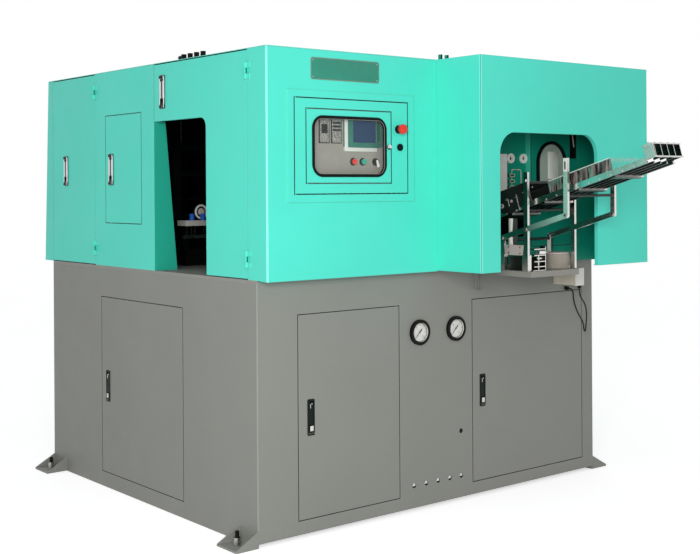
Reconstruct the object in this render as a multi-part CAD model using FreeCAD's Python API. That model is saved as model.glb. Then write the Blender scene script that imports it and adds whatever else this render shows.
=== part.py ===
import FreeCAD, Part
import math
import os

V = FreeCAD.Vector

# A two-stage stretch blow moulding machine: a grey base cabinet, a green guard on top of it, a
# loader hood at the right of the front and an inclined preform chute that comes out of the hood.
# All sizes are millimetres. The machine frame has its origin at the front left corner of the base
# on the floor: X runs right along the front, Y to the back, Z up. At the end everything is moved
# so that the origin is the middle of the footprint.

# ---- base cabinet ---------------------------------------------------------------------------
base_width = 1930.0
base_depth = 1740.0
base_height = 1000.0
base_sheet = 5.0
deck_thickness = 12.0
skirt_gap = 15.0            # lower edge of the front and side walls above the floor
foot_reach = 100.0          # foot plates stand out this far past the side walls
foot_length = 127.0
foot_plate = 8.0
gusset_height = 63.0
stud_radius = 8.0
stud_length = 62.0
nut_across = 24.0
nut_height = 13.0
washer_radius = 16.0
lock_nut_gap = 4.0          # washer between a stud's two nuts
frame_tube = 60.0
frame_wall = 4.0
vent_slot_length = 180.0
vent_slot_height = 8.0
vent_slot_pitch = 24.0
vent_slot_count = 8
vent_margin = 140.0         # vent slots from the wall's side edges and from its top

# ---- pan doors that close flush in an opening -------------------------------------------------
door_gap = 3.0
door_sheet = 2.0
door_depth = 20.0
lip_sheet = 3.0
lip_depth = 26.0
stop_width = 14.0
pivot_radius = 4.0
pivot_inset = 10.0          # pivot axis from the door's hinged edge
pivot_setback = 8.0         # pivot axis behind the door's face
pivot_reach = 6.0           # pin end past the door's flange
panel_pivot_inset = 6.0     # the same two sizes for the small doors of the control panel
panel_pivot_setback = 5.0
panel_pivot_radius = 2.4
fit_gap = 0.05              # radial clearance of a pin in its hole
rib_inset = 190.0
rib_height = 30.0

front_left_left = 186.0
front_left_right = 707.0
front_right_left = 1126.0
front_right_right = 1855.0
front_door_bottom = 67.0
front_door_top = base_height - 139.0
side_door_near = 533.0
side_door_far = 1242.0

# ---- flush locks ------------------------------------------------------------------------------
lock_height = 140.0
lock_width_base = 34.0
lock_width_guard = 42.0
lock_proud = 3.0
lock_cup_depth = 22.0
lock_wall = 3.0
lock_rim = 2.5
lock_top = 8.0
lock_foot = 26.0            # solid part below the cup, which holds the key barrel
key_barrel_radius = 7.0
finger_gap = 14.0
lever_thickness = 8.0
lever_side_gap = 1.5
lever_pin_radius = 2.5
base_lock_bottom = 390.0
base_lock_inset = 45.0      # lock's left edge from the door's free edge
guard_lock_bottom = base_height + 364.0
guard_lock_inset = 34.0
rear_lock_inset = 121.0
outlet_lock_bottom = base_height + 681.0
outlet_lock_inset = 51.0

# ---- gauges and holes in the base front -------------------------------------------------------
gauge_left_x = 816.0
gauge_right_x = 1025.0
gauge_z = base_height - 258.0
gauge_radius = 53.0
gauge_body_radius = 42.0
gauge_bezel_width = 13.0
gauge_bezel_proud = 12.0
gauge_body_depth = 34.0
gauge_dial_setback = 6.0
needle_tip = 31.0
needle_tail = 17.0
needle_thickness = 1.0
needle_hub_radius = 4.0
needle_zero = 225.0         # degrees, counted from +X towards +Z seen from the front
arbor_radius = 1.2
service_hole_radius = 10.0
service_hole_x = 785.0
service_hole_z = 107.5
service_hole_pitch = 68.0
service_hole_count = 5
upper_hole_rise = 191.5

# ---- green guard ------------------------------------------------------------------------------
guard_height = 875.0
guard_sheet = 3.0
guard_flange = 25.0
fold_radius = 7.0           # rounded vertical folds of the guard and the hood
guard_overhang = 67.0       # the guard's front stands this far in front of the base
corner_strip = 61.0         # far edge of the side strip folded from the front cover
outlet_far = 758.0          # seam between the outlet door and the side panel
rear_seam = 1297.0          # seam between the side panel and the rear guard door
seam_gap = 3.0
threshold_gap = 4.0
outlet_opening_near = 350.0
outlet_opening_top = base_height + 630.0
outlet_corner_radius = 40.0
inspection_near = 867.0
inspection_far = 1196.0
inspection_bottom = base_height + 193.0
inspection_top = base_height + 677.0
guide_sheet_top = 56.0
guide_sheet_bottom = 110.0
roof_fitting_x = 60.0       # row of air fittings at the roof's left edge, from front to back
roof_fitting_near = 462.0
roof_fitting_far = 611.0
roof_fitting_count = 4
roof_fitting_radius = 11.0
roof_fitting_height = 30.0
hood_knob_radius = 9.0
hood_knob_height = 22.0
hood_knob_left = 884.0
hood_knob_pitch = 36.0
rear_cover_top = 45.0
rear_cover_bottom = 90.0
barrel_radius = 6.0
barrel_height = 64.0
barrel_pin_radius = 3.0
barrel_leaf_width = 22.0
barrel_leaf = 3.0
upper_barrel_z = base_height + 757.0
lower_barrel_z = base_height + 46.0
barrel_joint_gap = 0.5

# ---- control panel in the guard's front -------------------------------------------------------
bezel_left = 93.0
bezel_right = 730.0
bezel_bottom = base_height + 290.0
bezel_top = base_height + 717.0
bezel_proud = 5.0
panel_left = 122.0
panel_right = 696.0
panel_bottom = base_height + 320.0
panel_top = base_height + 690.0
panel_door_depth = 16.0
window_left = 177.0
window_right = 608.0
window_bottom = base_height + 361.0
window_top = base_height + 650.0
window_door_depth = 12.0
panel_gap = 4.0
glass_left = 219.0
glass_right = 568.0
glass_bottom = base_height + 399.0
glass_top = base_height + 611.0
glass_corner_radius = 38.0
gasket_width = 12.0
gasket_proud = 3.0
gasket_lip = 2.0            # behind the pane
pane_thickness = 4.0
instrument_setback = 30.0   # instrument plate behind the panel door's face
instrument_sheet = 3.0
instrument_left = 150.0
instrument_right = 622.0
instrument_edge = 12.0      # instrument plate's upper and lower edges from the panel door's
screen_left = 384.0
screen_right = 580.0
screen_bottom = base_height + 506.0
screen_top = base_height + 640.0
screen_proud = 6.0
screen_frame = 14.0
screen_recess = 1.5
controller_left = 262.0
controller_width = 50.0
controller_pitch = 60.0
controller_bottom = base_height + 518.0
controller_height = 96.0
controller_proud = 4.0
stop_x = 432.0
start_x = 480.0
selector_x = 545.0
switch_z = base_height + 448.0
button_radius = 11.0
button_proud = 6.0
button_travel = 4.0
button_bezel_radius = 15.0
button_bezel_proud = 3.0
selector_radius = 12.0
selector_proud = 9.0
selector_handle_length = 22.0
estop_x = 643.0
estop_z = base_height + 579.0
estop_collar_radius = 17.0
estop_collar_height = 16.0
estop_head_radius = 20.0
estop_head_height = 18.0
estop_stem_radius = 9.0
estop_stand = 24.0          # underside of the red head in front of the panel door
estop_rounding = 11.0       # of the red head's front edge
key_lock_x = 651.0
key_lock_z = base_height + 507.0
key_lock_radius = 14.5
latch_x = 594.0
latch_z = base_height + 507.0
latch_radius = 10.0
plug_stem_radius = 6.0
plug_proud = 5.0
cam_thickness = 3.0
cam_width = 12.0
cam_gap = 0.4               # a cam behind the edge that it catches
latch_cam_reach = 22.0      # from the plug's axis
key_cam_reach = 58.0

# ---- loader hood ------------------------------------------------------------------------------
hood_left = 863.0
hood_right = base_width + 9.0
hood_reach = 320.0          # front of the hood in front of the base
arch_left = 973.0
arch_right = 1585.0
arch_top = base_height + 568.0
arch_radius = 88.0
arch_return = 20.0
inlet_left = 1225.0
inlet_right = 1465.0
inlet_bottom = base_height + 120.0
inlet_top = base_height + 300.0
port_radius = 22.0
port_wall = 12.0
port_proud = 8.0
port_left_x = 1372.0
port_right_x = 1455.0
port_z = base_height + 473.0
inner_step_x = 1476.0       # from here to the right the wall stands nearer to the front
inner_step = 25.0
backing_left = 1285.0       # bright backing plate beside the preform inlet
backing_right = 1344.0
backing_top = base_height + 492.0
guide_rack_left = 1352.0
guide_rack_right = 1386.0
guide_rack_pads = 4
guide_rack_pitch = 26.0
guide_rack_bottom = base_height + 312.0
inner_door_left = 1484.0
inner_door_right = 1806.0
inner_door_bottom = base_height + 75.0
inner_door_top = base_height + 825.0
inner_window_width = 174.0
inner_window_x = 1616.0
inner_window_crown = base_height + 540.0
inner_window_bottom = base_height + 285.0
inner_lock_bottom = base_height + 475.0
inner_lock_right_inset = 17.0

# ---- loader -----------------------------------------------------------------------------------
shelf_left = 1178.0
shelf_right = 1518.0
shelf_top = base_height - 10.0
shelf_thickness = 24.0
shelf_corner_radius = 60.0
shelf_reach = 300.0         # front of the shelf in front of the base
side_frame_left = 1190.0    # outer face of the left side frame
side_frame_right = 1502.0   # outer face of the right side frame
bar_thickness = 12.0
post_width = 22.0
rear_post_y = -122.0
front_post_y = -257.0
left_post_top = base_height + 407.0
link_bar_height = 22.0
link_low_z = base_height + 128.0         # link bar's centre at the rear posts
link_end_y = -474.0
hanger_top = base_height + 461.0
shoe_height = 68.0
shoe_extra = 5.0
drive_left = 1210.0         # feed drive beside the left side frame
drive_right = 1290.0
drive_near = -243.0
drive_far = -145.0
drive_height = 56.0
escapement_near = -280.0
escapement_far = -250.0
escapement_height = 102.0
escapement_sheet = 4.0
escapement_levels = (16.0, 38.0, 64.0, 90.0)
stop_bracket_left = 1136.0  # small bracket on the base wall under the hood's left leg
stop_bracket_width = 36.0
stop_bracket_bottom = base_height - 103.0
stop_bracket_height = 77.0
stop_bracket_proud = 14.0
guide_block_length = 100.0
guide_block_width = 32.0
guide_block_height = 43.0
guide_block_bottom = base_height + 56.0
cylinder_radius = 19.0
cylinder_height = 112.0
chute_left = 1220.0
chute_right = 1400.0
chute_foot_y = -30.0        # lower end of the chute
chute_head_y = -845.0       # upper end of the side plates
chute_head_z = base_height + 455.0       # top edge of the side plates there
chute_rise = 0.285
chute_plate = 4.0
chute_plate_height = 18.0
lane_count = 4
rail_width = 8.0
rail_height = 6.0
cross_bar_width = 26.0
cross_bar_height = 8.0
cross_bar_pitch = 190.0
gate_start = 40.0
gate_length = 200.0
gate_plate = 6.0
gate_top = 10.0
gate_height = 84.0
divider_height = 41.0
divider_length = 46.0
head_depth = 11.0           # underside of the head's sill below the side plates' top edge
divider_sheet = 3.0
head_plate = 5.0
head_screw_radius = 5.0
head_screw_height = 9.0
cover_near = 350.0          # start and length of the chute cover along the slope
cover_length = 335.0
cover_rise = 48.0
cover_sheet = 3.0
cover_post = 8.0
drum_x = 1462.0
drum_y = -190.0
drum_radius = 57.0
drum_height = 60.0
drum_flange = 4.0
drum_bolt_radius = 4.0
drum_bolt_count = 8
table_radius = 53.0
table_thickness = 8.0
table_gap = 0.6
table_shaft_radius = 12.0
table_shaft_length = 20.0

# ---- junction box and its cable ---------------------------------------------------------------
box_left = 1658.0
box_width = 56.0
box_depth = 132.0
box_bottom = base_height - 103.0
box_height = 75.0
box_lid = 8.0
cable_radius = 3.25
gland_radius = 9.0
gland_length = 16.0
wall_gland_x = 1741.0
wall_gland_z = base_height - 127.5
box_gland_y = -114.0
box_gland_inset = 10.0      # gland's axis from the box's right side

# ---- blow clamp, stretch unit and oven --------------------------------------------------------
clamp_left = 250.0
clamp_width = 750.0
clamp_front = 920.0
clamp_beam_height = 75.0
clamp_beam_depth = 420.0
manifold_bottom = base_height + 179.0
manifold_thickness = 24.0
manifold_depth = 70.0
lower_bar_bottom = base_height + 123.0
lower_bar_height = 15.0
lower_bar_depth = 30.0
hanging_rod_radius = 4.0
hanging_rod_pitch = 110.0
fitting_radius = 11.0
fitting_start = 44.0        # first fitting from the manifold's left end
fitting_height = 30.0
fitting_pitch = 57.0
regulator_radius = 34.0
regulator_x = 357.0
regulator_setback = 34.0
regulator_length = 30.0
platen_setback = 100.0      # end platens behind the clamp's front
platen_thickness = 40.0
platen_depth = 300.0
platen_top = base_height + 520.0
tie_bar_radius = 18.0
tie_bar_inset = 45.0
mould_plate_thickness = 30.0
mould_width = 90.0          # of one half, along the closing direction
mould_depth = 170.0
mould_height = 270.0
mould_gap = 0.5
clamp_rod_radius = 20.0
clamp_barrel_radius = 45.0
clamp_barrel_length = 155.0
clamp_barrel_end = 8.0
clamp_rod_overlap = 15.0    # rod end past the platen's outer face with the mould closed
mould_seat = 40.0           # underside of a mould half above the bed
mould_plate_low = 4.0       # clearance of its back plate over the bed and under the platens' top
mould_plate_high = 20.0
cavity_radius = 32.0
cavity_pitch = 84.0
cavity_floor = 20.0
shoulder_height = 30.0
neck_radius = 14.0
neck_depth = 20.0
neck_cut = 21.0             # just past the mould's top face
crown_thickness = 30.0
crown_depth = 180.0
guide_rod_radius = 12.5
guide_rod_top = base_height + 845.0
guide_rod_inset = 130.0
carriage_bottom = base_height + 770.0
carriage_thickness = 25.0
carriage_depth = 120.0
carriage_overhang = 40.0
stretch_rod_radius = 7.0
stretch_rod_end = base_height + 450.0
oven_left = 1180.0
oven_length = 620.0
oven_front = 980.0
oven_depth = 300.0
oven_floor = 40.0
oven_wall = 6.0
oven_height = 380.0
lamp_radius = 6.0
lamp_pitch = 55.0
lamp_count = 5
lamp_setback = 40.0
plate_left = 330.0          # electrical plate inside the base, on the rear wall
plate_length = 1150.0
plate_bottom = 240.0
plate_height = base_height - 440.0
plate_margin = 30.0         # standoffs from the plate's edges
plate_standoff = 40.0
plate_sheet = 3.0
device_depth = 80.0
device_edge = 60.0          # first drive unit and terminal rows from the plate's left edge
drive_unit_count = 4
drive_unit_pitch = 150.0
drive_unit_width = 110.0
drive_unit_height = 180.0
drive_unit_drop = 50.0      # top of the drive units under the plate's upper edge
supply_start = 700.0
supply_width = 350.0
supply_height = 150.0
supply_drop = 60.0
terminal_row_count = 2
terminal_row_pitch = 110.0
terminal_row_height = 55.0

# ---- values that follow from the driving dimensions -------------------------------------------
guard_top = base_height + guard_height
guard_front = -guard_overhang
hood_front = -hood_reach
panel_face = guard_front - bezel_proud
chute_angle = math.degrees(math.atan(chute_rise))
chute_cos = math.cos(math.radians(chute_angle))
chute_foot_z = chute_head_z - chute_rise * (chute_foot_y - chute_head_y)
chute_length = (chute_foot_y - chute_head_y) / chute_cos
front_doors = {
    "front_left": (front_left_left, front_left_right),
    "front_right": (front_right_left, front_right_right),
}


# ---- small helpers ----------------------------------------------------------------------------
def block(x0, x1, y0, y1, z0, z1):
    return Part.makeBox(x1 - x0, y1 - y0, z1 - z0, V(x0, y0, z0))


def round_bar(radius, length, start, direction):
    return Part.makeCylinder(radius, length, V(*start), V(*direction))


def prism(points, along):
    """A polygon's solid, pushed from its plane along a vector."""
    wire = Part.makePolygon([V(*p) for p in points] + [V(*points[0])])
    return Part.Face(wire).extrude(V(*along))


def fold_waste(x, y, side, z0, z1):
    """What a front corner loses where a sheet is folded round; side is 1 at a left corner, else -1."""
    centre = x + side * fold_radius
    waste = block(min(x, centre), max(x, centre), y, y + fold_radius, z0, z1)
    return waste.cut(round_bar(fold_radius, z1 - z0, (centre, y + fold_radius, z0), (0, 0, 1)))


def soft_slab(x0, x1, z0, z1, radius, y0, y1):
    """A slab across Y whose four corners, seen from the front, are rounded."""
    slab = block(x0, x1, y0, y1, z0, z1)
    edges = [e for e in slab.Edges if abs(e.Vertexes[0].Y - e.Vertexes[-1].Y) > 0.5 * (y1 - y0)]
    return slab.makeFillet(radius, edges)


def joined(shapes):
    shapes = list(shapes)
    if len(shapes) == 1:
        return shapes[0]
    return shapes[0].multiFuse(shapes[1:]).removeSplitter()


def group(shapes):
    return Part.makeCompound(list(shapes))


def to_left_side(shape):
    """Turns what was built on the front (X along it, Y inwards) to the left wall."""
    turned = shape.copy()
    turned.rotate(V(0, 0, 0), V(0, 0, 1), -90)
    return turned


def on_slope(shape):
    """Moves what was built along -Y at the origin to the chute's foot, rising outwards."""
    tilted = shape.copy()
    tilted.rotate(V(0, 0, 0), V(1, 0, 0), -chute_angle)
    tilted.translate(V(0, chute_foot_y, chute_foot_z))
    return tilted


# ---- flush locks ------------------------------------------------------------------------------
def lever_pivot(bottom):
    """Height and depth of a lever's pin, the lock's foot being at the given height."""
    boss = lever_thickness
    return bottom + lock_height - lock_top - lever_side_gap - boss, boss - lock_proud + 1.0


def lock_housing(left, bottom, width, face):
    """Face plate, cup, key barrel and lever pin of a flush lock whose door's face is at y=face."""
    top = bottom + lock_height
    middle = left + width / 2
    plate = soft_slab(left, left + width, bottom, top, lock_rim * 2, face - lock_proud, face + door_sheet)
    cup = block(left + lock_rim, left + width - lock_rim, face, face + lock_cup_depth,
                bottom + lock_rim, top - lock_rim)
    hollow = block(left + lock_rim + lock_wall, left + width - lock_rim - lock_wall,
                   face - lock_proud, face + lock_cup_depth - lock_wall, bottom + lock_foot, top - lock_top)
    barrel = round_bar(key_barrel_radius, lock_proud + 2.0, (middle, face - lock_proud - 2.0,
                       bottom + lock_foot / 2), (0, 1, 0))
    pin_z, pin_y = lever_pivot(bottom)
    pin = round_bar(lever_pin_radius, width - 2 * lock_rim - lock_wall,
                    (left + lock_rim + lock_wall / 2, face + pin_y, pin_z), (1, 0, 0))
    return plate.fuse(cup).cut(hollow).fuse([barrel, pin])


def lock_lever(left, bottom, width, face):
    """The flush lever: a bar with a round boss that turns on the pin near its top."""
    inner = lock_rim + lock_wall + lever_side_gap
    x0 = left + inner
    x1 = left + width - inner
    pin_z, pin_y = lever_pivot(bottom)
    front = face + pin_y - lever_thickness
    bar = block(x0, x1, front, front + lever_thickness, bottom + lock_foot + finger_gap, pin_z)
    boss = round_bar(lever_thickness, x1 - x0, (x0, face + pin_y, pin_z), (1, 0, 0))
    hole = round_bar(lever_pin_radius + fit_gap, x1 - x0, (x0, face + pin_y, pin_z), (1, 0, 0))
    return bar.fuse(boss).cut(hole).removeSplitter()


def lock_room(left, bottom, width, face):
    """The space a lock takes in a door's skin."""
    return block(left + lock_rim, left + width - lock_rim, face, face + lock_cup_depth,
                 bottom + lock_rim, bottom + lock_height - lock_rim)


# ---- pan doors in openings --------------------------------------------------------------------
def pan(x0, x1, z0, z1, face, depth, sheet):
    """A folded pan: a skin with a flange all round, open at the back."""
    skin = block(x0, x1, face, face + depth, z0, z1)
    return skin.cut(block(x0 + sheet, x1 - sheet, face + sheet, face + depth, z0 + sheet, z1 - sheet))


def flush_door(x0, x1, z0, z1, face, lock_left, lock_bottom, lock_width):
    """A door hinged at its right on two pivot pins, with a flush lock fused to it."""
    x0, x1, z0, z1 = x0 + door_gap, x1 - door_gap, z0 + door_gap, z1 - door_gap
    door = pan(x0, x1, z0, z1, face, door_depth, door_sheet)
    ribs = [block(x0 + door_sheet, x1 - door_sheet, face + door_sheet, face + door_depth - door_sheet,
                  z, z + rib_height) for z in (z0 + rib_inset, z1 - rib_inset - rib_height)]
    holes = [round_bar(pivot_radius + fit_gap, pivot_reach + door_sheet,
                       (x1 - pivot_inset, face + pivot_setback, z), (0, 0, 1))
             for z in (z0, z1 - door_sheet - pivot_reach)]
    door = door.fuse(ribs).cut(lock_room(lock_left, lock_bottom, lock_width, face)).cut(holes)
    return joined([door, lock_housing(lock_left, lock_bottom, lock_width, face)])


def opening_lip(x0, x1, z0, z1, face):
    """The folded edge round a door opening, with its stop strip and the two pivot pins."""
    ring = block(x0 - lip_sheet, x1 + lip_sheet, face, face + lip_depth, z0 - lip_sheet, z1 + lip_sheet)
    ring = ring.cut(block(x0, x1, face, face + lip_depth, z0, z1))
    stop = block(x0, x0 + stop_width, face + lip_depth - lip_sheet, face + lip_depth, z0, z1)
    reach = door_gap + door_sheet + pivot_reach
    x = x1 - door_gap - pivot_inset
    pins = [round_bar(pivot_radius, reach, (x, face + pivot_setback, z), (0, 0, 1))
            for z in (z0, z1 - reach)]
    return ring.fuse([stop] + pins)


# ---- base -------------------------------------------------------------------------------------
def foot_gusset(y0):
    """A triangular plate at the left wall's foot, one sheet thick from y0 on."""
    return prism([(0, y0, 0), (-foot_reach, y0, 0), (-foot_reach, y0, foot_plate),
                  (0, y0, gusset_height)], (0, base_sheet, 0))


def mirrored(shape):
    """The same thing at the machine's right side."""
    return shape.mirror(V(base_width / 2, 0, 0), V(1, 0, 0))


def left_feet():
    """Both foot plates of the left wall, each with its own back gusset and stud hole."""
    parts = []
    for y0 in (base_sheet, base_depth - base_sheet - foot_length):
        plate = block(-foot_reach, 0, y0, y0 + foot_length, 0, foot_plate)
        stud = (-foot_reach / 2, y0 + foot_length / 2, 0)
        parts.append(plate.cut(round_bar(stud_radius + 1.0, foot_plate, stud, (0, 0, 1))))
        inner = y0 + foot_length - base_sheet if y0 < base_depth / 2 else y0
        parts.append(foot_gusset(inner))
    return parts


def base_front_wall():
    wall = block(0, base_width, 0, base_sheet, skirt_gap, base_height - deck_thickness)
    lips = []
    for left, right in front_doors.values():
        wall = wall.cut(block(left, right, 0, base_sheet, front_door_bottom, front_door_top))
        lips.append(opening_lip(left, right, front_door_bottom, front_door_top, 0))
    holes = [round_bar(gauge_body_radius, base_sheet, (x, 0, gauge_z), (0, 1, 0))
             for x in (gauge_left_x, gauge_right_x)]
    row_end = service_hole_x + (service_hole_count - 1) * service_hole_pitch
    spots = [(service_hole_x + i * service_hole_pitch, service_hole_z) for i in range(service_hole_count)]
    spots.append((row_end, service_hole_z + upper_hole_rise))
    holes += [round_bar(service_hole_radius, base_sheet, (x, 0, z), (0, 1, 0)) for x, z in spots]
    wall = wall.fuse(lips).cut(holes)
    ear = foot_gusset(0)
    return joined([wall, ear, mirrored(ear), stop_bracket()])


def stop_bracket():
    """A U-shaped bracket under the hood's left leg, open at its front."""
    x0, x1 = stop_bracket_left, stop_bracket_left + stop_bracket_width
    z0, z1 = stop_bracket_bottom, stop_bracket_bottom + stop_bracket_height
    body = block(x0, x1, -stop_bracket_proud, 0, z0, z1)
    s = door_sheet * 2
    return body.cut(block(x0 + s, x1 - s, -stop_bracket_proud, -s, z0 + s, z1 - s))


def base_left_wall():
    wall = block(-base_depth + base_sheet, -base_sheet, 0, base_sheet, 0, base_height - deck_thickness)
    wall = wall.cut(block(-side_door_far, -side_door_near, 0, base_sheet, front_door_bottom, front_door_top))
    lip = opening_lip(-side_door_far, -side_door_near, front_door_bottom, front_door_top, 0)
    return joined([to_left_side(wall.fuse(lip))] + left_feet())


def base_right_wall():
    wall = block(base_width - base_sheet, base_width, base_sheet, base_depth - base_sheet,
                 0, base_height - deck_thickness)
    return joined([wall] + [mirrored(foot) for foot in left_feet()])


def base_rear_wall():
    y0 = base_depth - base_sheet
    wall = block(0, base_width, y0, base_depth, skirt_gap, base_height - deck_thickness)
    slots = []
    for x0 in (vent_margin, base_width - vent_margin - vent_slot_length):
        for i in range(vent_slot_count):
            z1 = base_height - vent_margin - i * vent_slot_pitch
            slots.append(block(x0, x0 + vent_slot_length, y0, base_depth, z1 - vent_slot_height, z1))
    ear = foot_gusset(y0)
    return joined([wall.cut(slots), ear, mirrored(ear)])


def base_deck():
    return block(0, base_width, 0, base_depth, base_height - deck_thickness, base_height)


def tube_along(axis, length, corner):
    """A square tube from its lowest corner, along axis 0, 1 or 2."""
    size = [frame_tube, frame_tube, frame_tube]
    size[axis] = length
    inner = [frame_tube - 2 * frame_wall] * 3
    inner[axis] = length
    shift = [frame_wall] * 3
    shift[axis] = 0
    outer = Part.makeBox(*size, V(*corner))
    return outer.cut(Part.makeBox(*inner, V(*[c + s for c, s in zip(corner, shift)])))


def base_frame():
    """Bottom ring, uprights and top ring of square tube, set inside the walls."""
    near = base_sheet + lip_depth
    x1 = base_width - near - frame_tube
    y1 = base_depth - near - frame_tube
    low = skirt_gap
    high = base_height - deck_thickness - frame_tube
    members = []
    for z in (low, high):
        members += [tube_along(0, x1 - near - frame_tube, (near + frame_tube, y, z)) for y in (near, y1)]
        members += [tube_along(1, y1 - near - frame_tube, (x, near + frame_tube, z)) for x in (near, x1)]
    members += [tube_along(2, high + frame_tube - low, (x, y, low)) for x in (near, x1) for y in (near, y1)]
    return joined(members)


def hexagon(across, height, centre):
    radius = across / math.sqrt(3)
    x, y, z = centre
    corners = [(x + radius * math.cos(math.radians(60 * i)), y + radius * math.sin(math.radians(60 * i)), z)
               for i in range(6)]
    return prism(corners, (0, 0, height))


def levelling_feet():
    """Four studs, each with its pad, and lock nuts under and over the foot plate."""
    feet = []
    for x in (-foot_reach / 2, base_width + foot_reach / 2):
        for y in (base_sheet + foot_length / 2, base_depth - base_sheet - foot_length / 2):
            stud = round_bar(stud_radius, stud_length, (x, y, 0), (0, 0, 1))
            nut = hexagon(nut_across, nut_height, (x, y, foot_plate))
            upper = hexagon(nut_across, nut_height, (x, y, foot_plate + nut_height + lock_nut_gap))
            washer = round_bar(washer_radius, lock_nut_gap, (x, y, foot_plate + nut_height), (0, 0, 1))
            feet.append(joined([stud, nut, washer, upper]))
    return group(feet)


# ---- gauges -----------------------------------------------------------------------------------
def gauge_body(x):
    """A round case with a bezel, an open front and the dial as its floor."""
    front = -gauge_bezel_proud
    bezel = round_bar(gauge_radius, gauge_bezel_proud, (x, front, gauge_z), (0, 1, 0))
    case = round_bar(gauge_body_radius, gauge_body_depth, (x, 0, gauge_z), (0, 1, 0))
    window = round_bar(gauge_radius - gauge_bezel_width, gauge_bezel_proud - 1.0,
                       (x, front, gauge_z), (0, 1, 0))
    port = round_bar(needle_hub_radius * 2, 16.0, (x, gauge_body_depth, gauge_z), (0, 1, 0))
    arbor = round_bar(arbor_radius, gauge_dial_setback, (x, -1.0 - gauge_dial_setback, gauge_z), (0, 1, 0))
    return bezel.fuse(case).cut(window).fuse([port, arbor])


def gauge_bodies():
    return group([gauge_body(x) for x in (gauge_left_x, gauge_right_x)])


def gauge_needle(x):
    """A tapered pointer with a broad tail on a small hub, at its zero."""
    y0 = -1.0 - gauge_dial_setback + 1.0
    tip = V(needle_tip, 0, 0)
    outline = [(tip.x, 0, -0.4), (tip.x, 0, 0.4), (0, 0, 1.6), (-needle_tail, 0, 2.8),
               (-needle_tail, 0, -2.8), (0, 0, -1.6)]
    pointer = prism(outline, (0, needle_thickness, 0))
    hub = round_bar(needle_hub_radius, needle_thickness, (0, 0, 0), (0, 1, 0))
    hole = round_bar(arbor_radius + fit_gap, needle_thickness, (0, 0, 0), (0, 1, 0))
    needle = pointer.fuse(hub).cut(hole).removeSplitter()
    needle.rotate(V(0, 0, 0), V(0, 1, 0), -needle_zero)
    needle.translate(V(x, y0, gauge_z))
    return needle


# ---- green guard ------------------------------------------------------------------------------
def barrel_knuckles(seam, z, fixed):
    """Half of an external barrel hinge on the left wall: the fixed half carries the pin.

    It is built on the front frame, so the seam lies at x = -seam and the fixed side is to its right.
    """
    x = -seam
    third = barrel_height / 3
    if fixed:
        spans = [(z, z + third), (z + 2 * third, z + barrel_height)]
    else:
        spans = [(z + third + barrel_joint_gap, z + 2 * third - barrel_joint_gap)]
    side = 1 if fixed else -1
    parts = []
    for low, high in spans:
        knuckle = round_bar(barrel_radius, high - low, (x, -barrel_radius, low), (0, 0, 1))
        edge, tip = x + side * seam_gap / 2, x + side * barrel_leaf_width
        leaf = block(min(edge, tip), max(edge, tip), -barrel_leaf, 0, low, high)
        parts.append(knuckle.fuse(leaf))
    shape = joined(parts) if len(parts) == 1 else parts[0].fuse(parts[1:])
    if fixed:
        pin = round_bar(barrel_pin_radius, barrel_height, (x, -barrel_radius, z), (0, 0, 1))
        return shape.fuse(pin)
    hole = round_bar(barrel_pin_radius + fit_gap, barrel_height, (x, -barrel_radius, z), (0, 0, 1))
    return shape.cut(hole)


def control_opening(y0, y1, margin):
    return block(panel_left - margin, panel_right + margin, y0, y1, panel_bottom - margin, panel_top + margin)


def guard_front_cover():
    """The front sheet with its folded corner strip, raised bezel and the panel's rim."""
    z0 = base_height
    front = block(0, hood_left, guard_front, guard_front + guard_sheet, z0, guard_top - guard_sheet)
    strip = block(0, guard_sheet, guard_front, corner_strip - seam_gap / 2, z0, guard_top - guard_sheet)
    bezel = block(bezel_left, bezel_right, panel_face, guard_front, bezel_bottom, bezel_top)
    rim_depth = panel_door_depth + lip_sheet
    rim = control_opening(panel_face, panel_face + rim_depth, lip_sheet)
    foot = block(0, hood_left, guard_front, 0, z0 - guard_sheet, z0)
    foot = foot.cut(block(0, hood_left, -guard_sheet, base_depth, 0, guard_top))
    strip_lip = block(guard_sheet, guard_flange, corner_strip - seam_gap / 2 - guard_sheet,
                      corner_strip - seam_gap / 2, z0, guard_top - guard_sheet)
    knuckles = [to_left_side(barrel_knuckles(corner_strip, z, True))
                for z in (upper_barrel_z, lower_barrel_z)]
    cover = joined([front, strip, bezel, rim, foot, strip_lip])
    cover = cover.cut([control_opening(panel_face, panel_face + rim_depth, 0),
                       fold_waste(0, guard_front, 1, z0 - guard_sheet, guard_top)])
    pins = panel_hinge_pins(panel_left, panel_bottom, panel_top)
    return joined([cover] + pins + knuckles)


def panel_hinge_pins(left, bottom, top):
    """Two pins at the left of a small door, from the rim round it into the door's flanges."""
    reach = panel_gap + door_sheet + pivot_reach
    return [round_bar(panel_pivot_radius, reach,
                      (left + panel_gap + panel_pivot_inset, panel_face + panel_pivot_setback, z), (0, 0, 1))
            for z in (bottom, top - reach)]


def panel_hinge_holes(left, bottom, top):
    """The running holes for those pins in the small door's upper and lower flanges."""
    reach = door_sheet + pivot_reach
    return [round_bar(panel_pivot_radius + fit_gap, reach,
                      (left + panel_gap + panel_pivot_inset, panel_face + panel_pivot_setback, z), (0, 0, 1))
            for z in (bottom + panel_gap, top - panel_gap - reach)]


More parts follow.
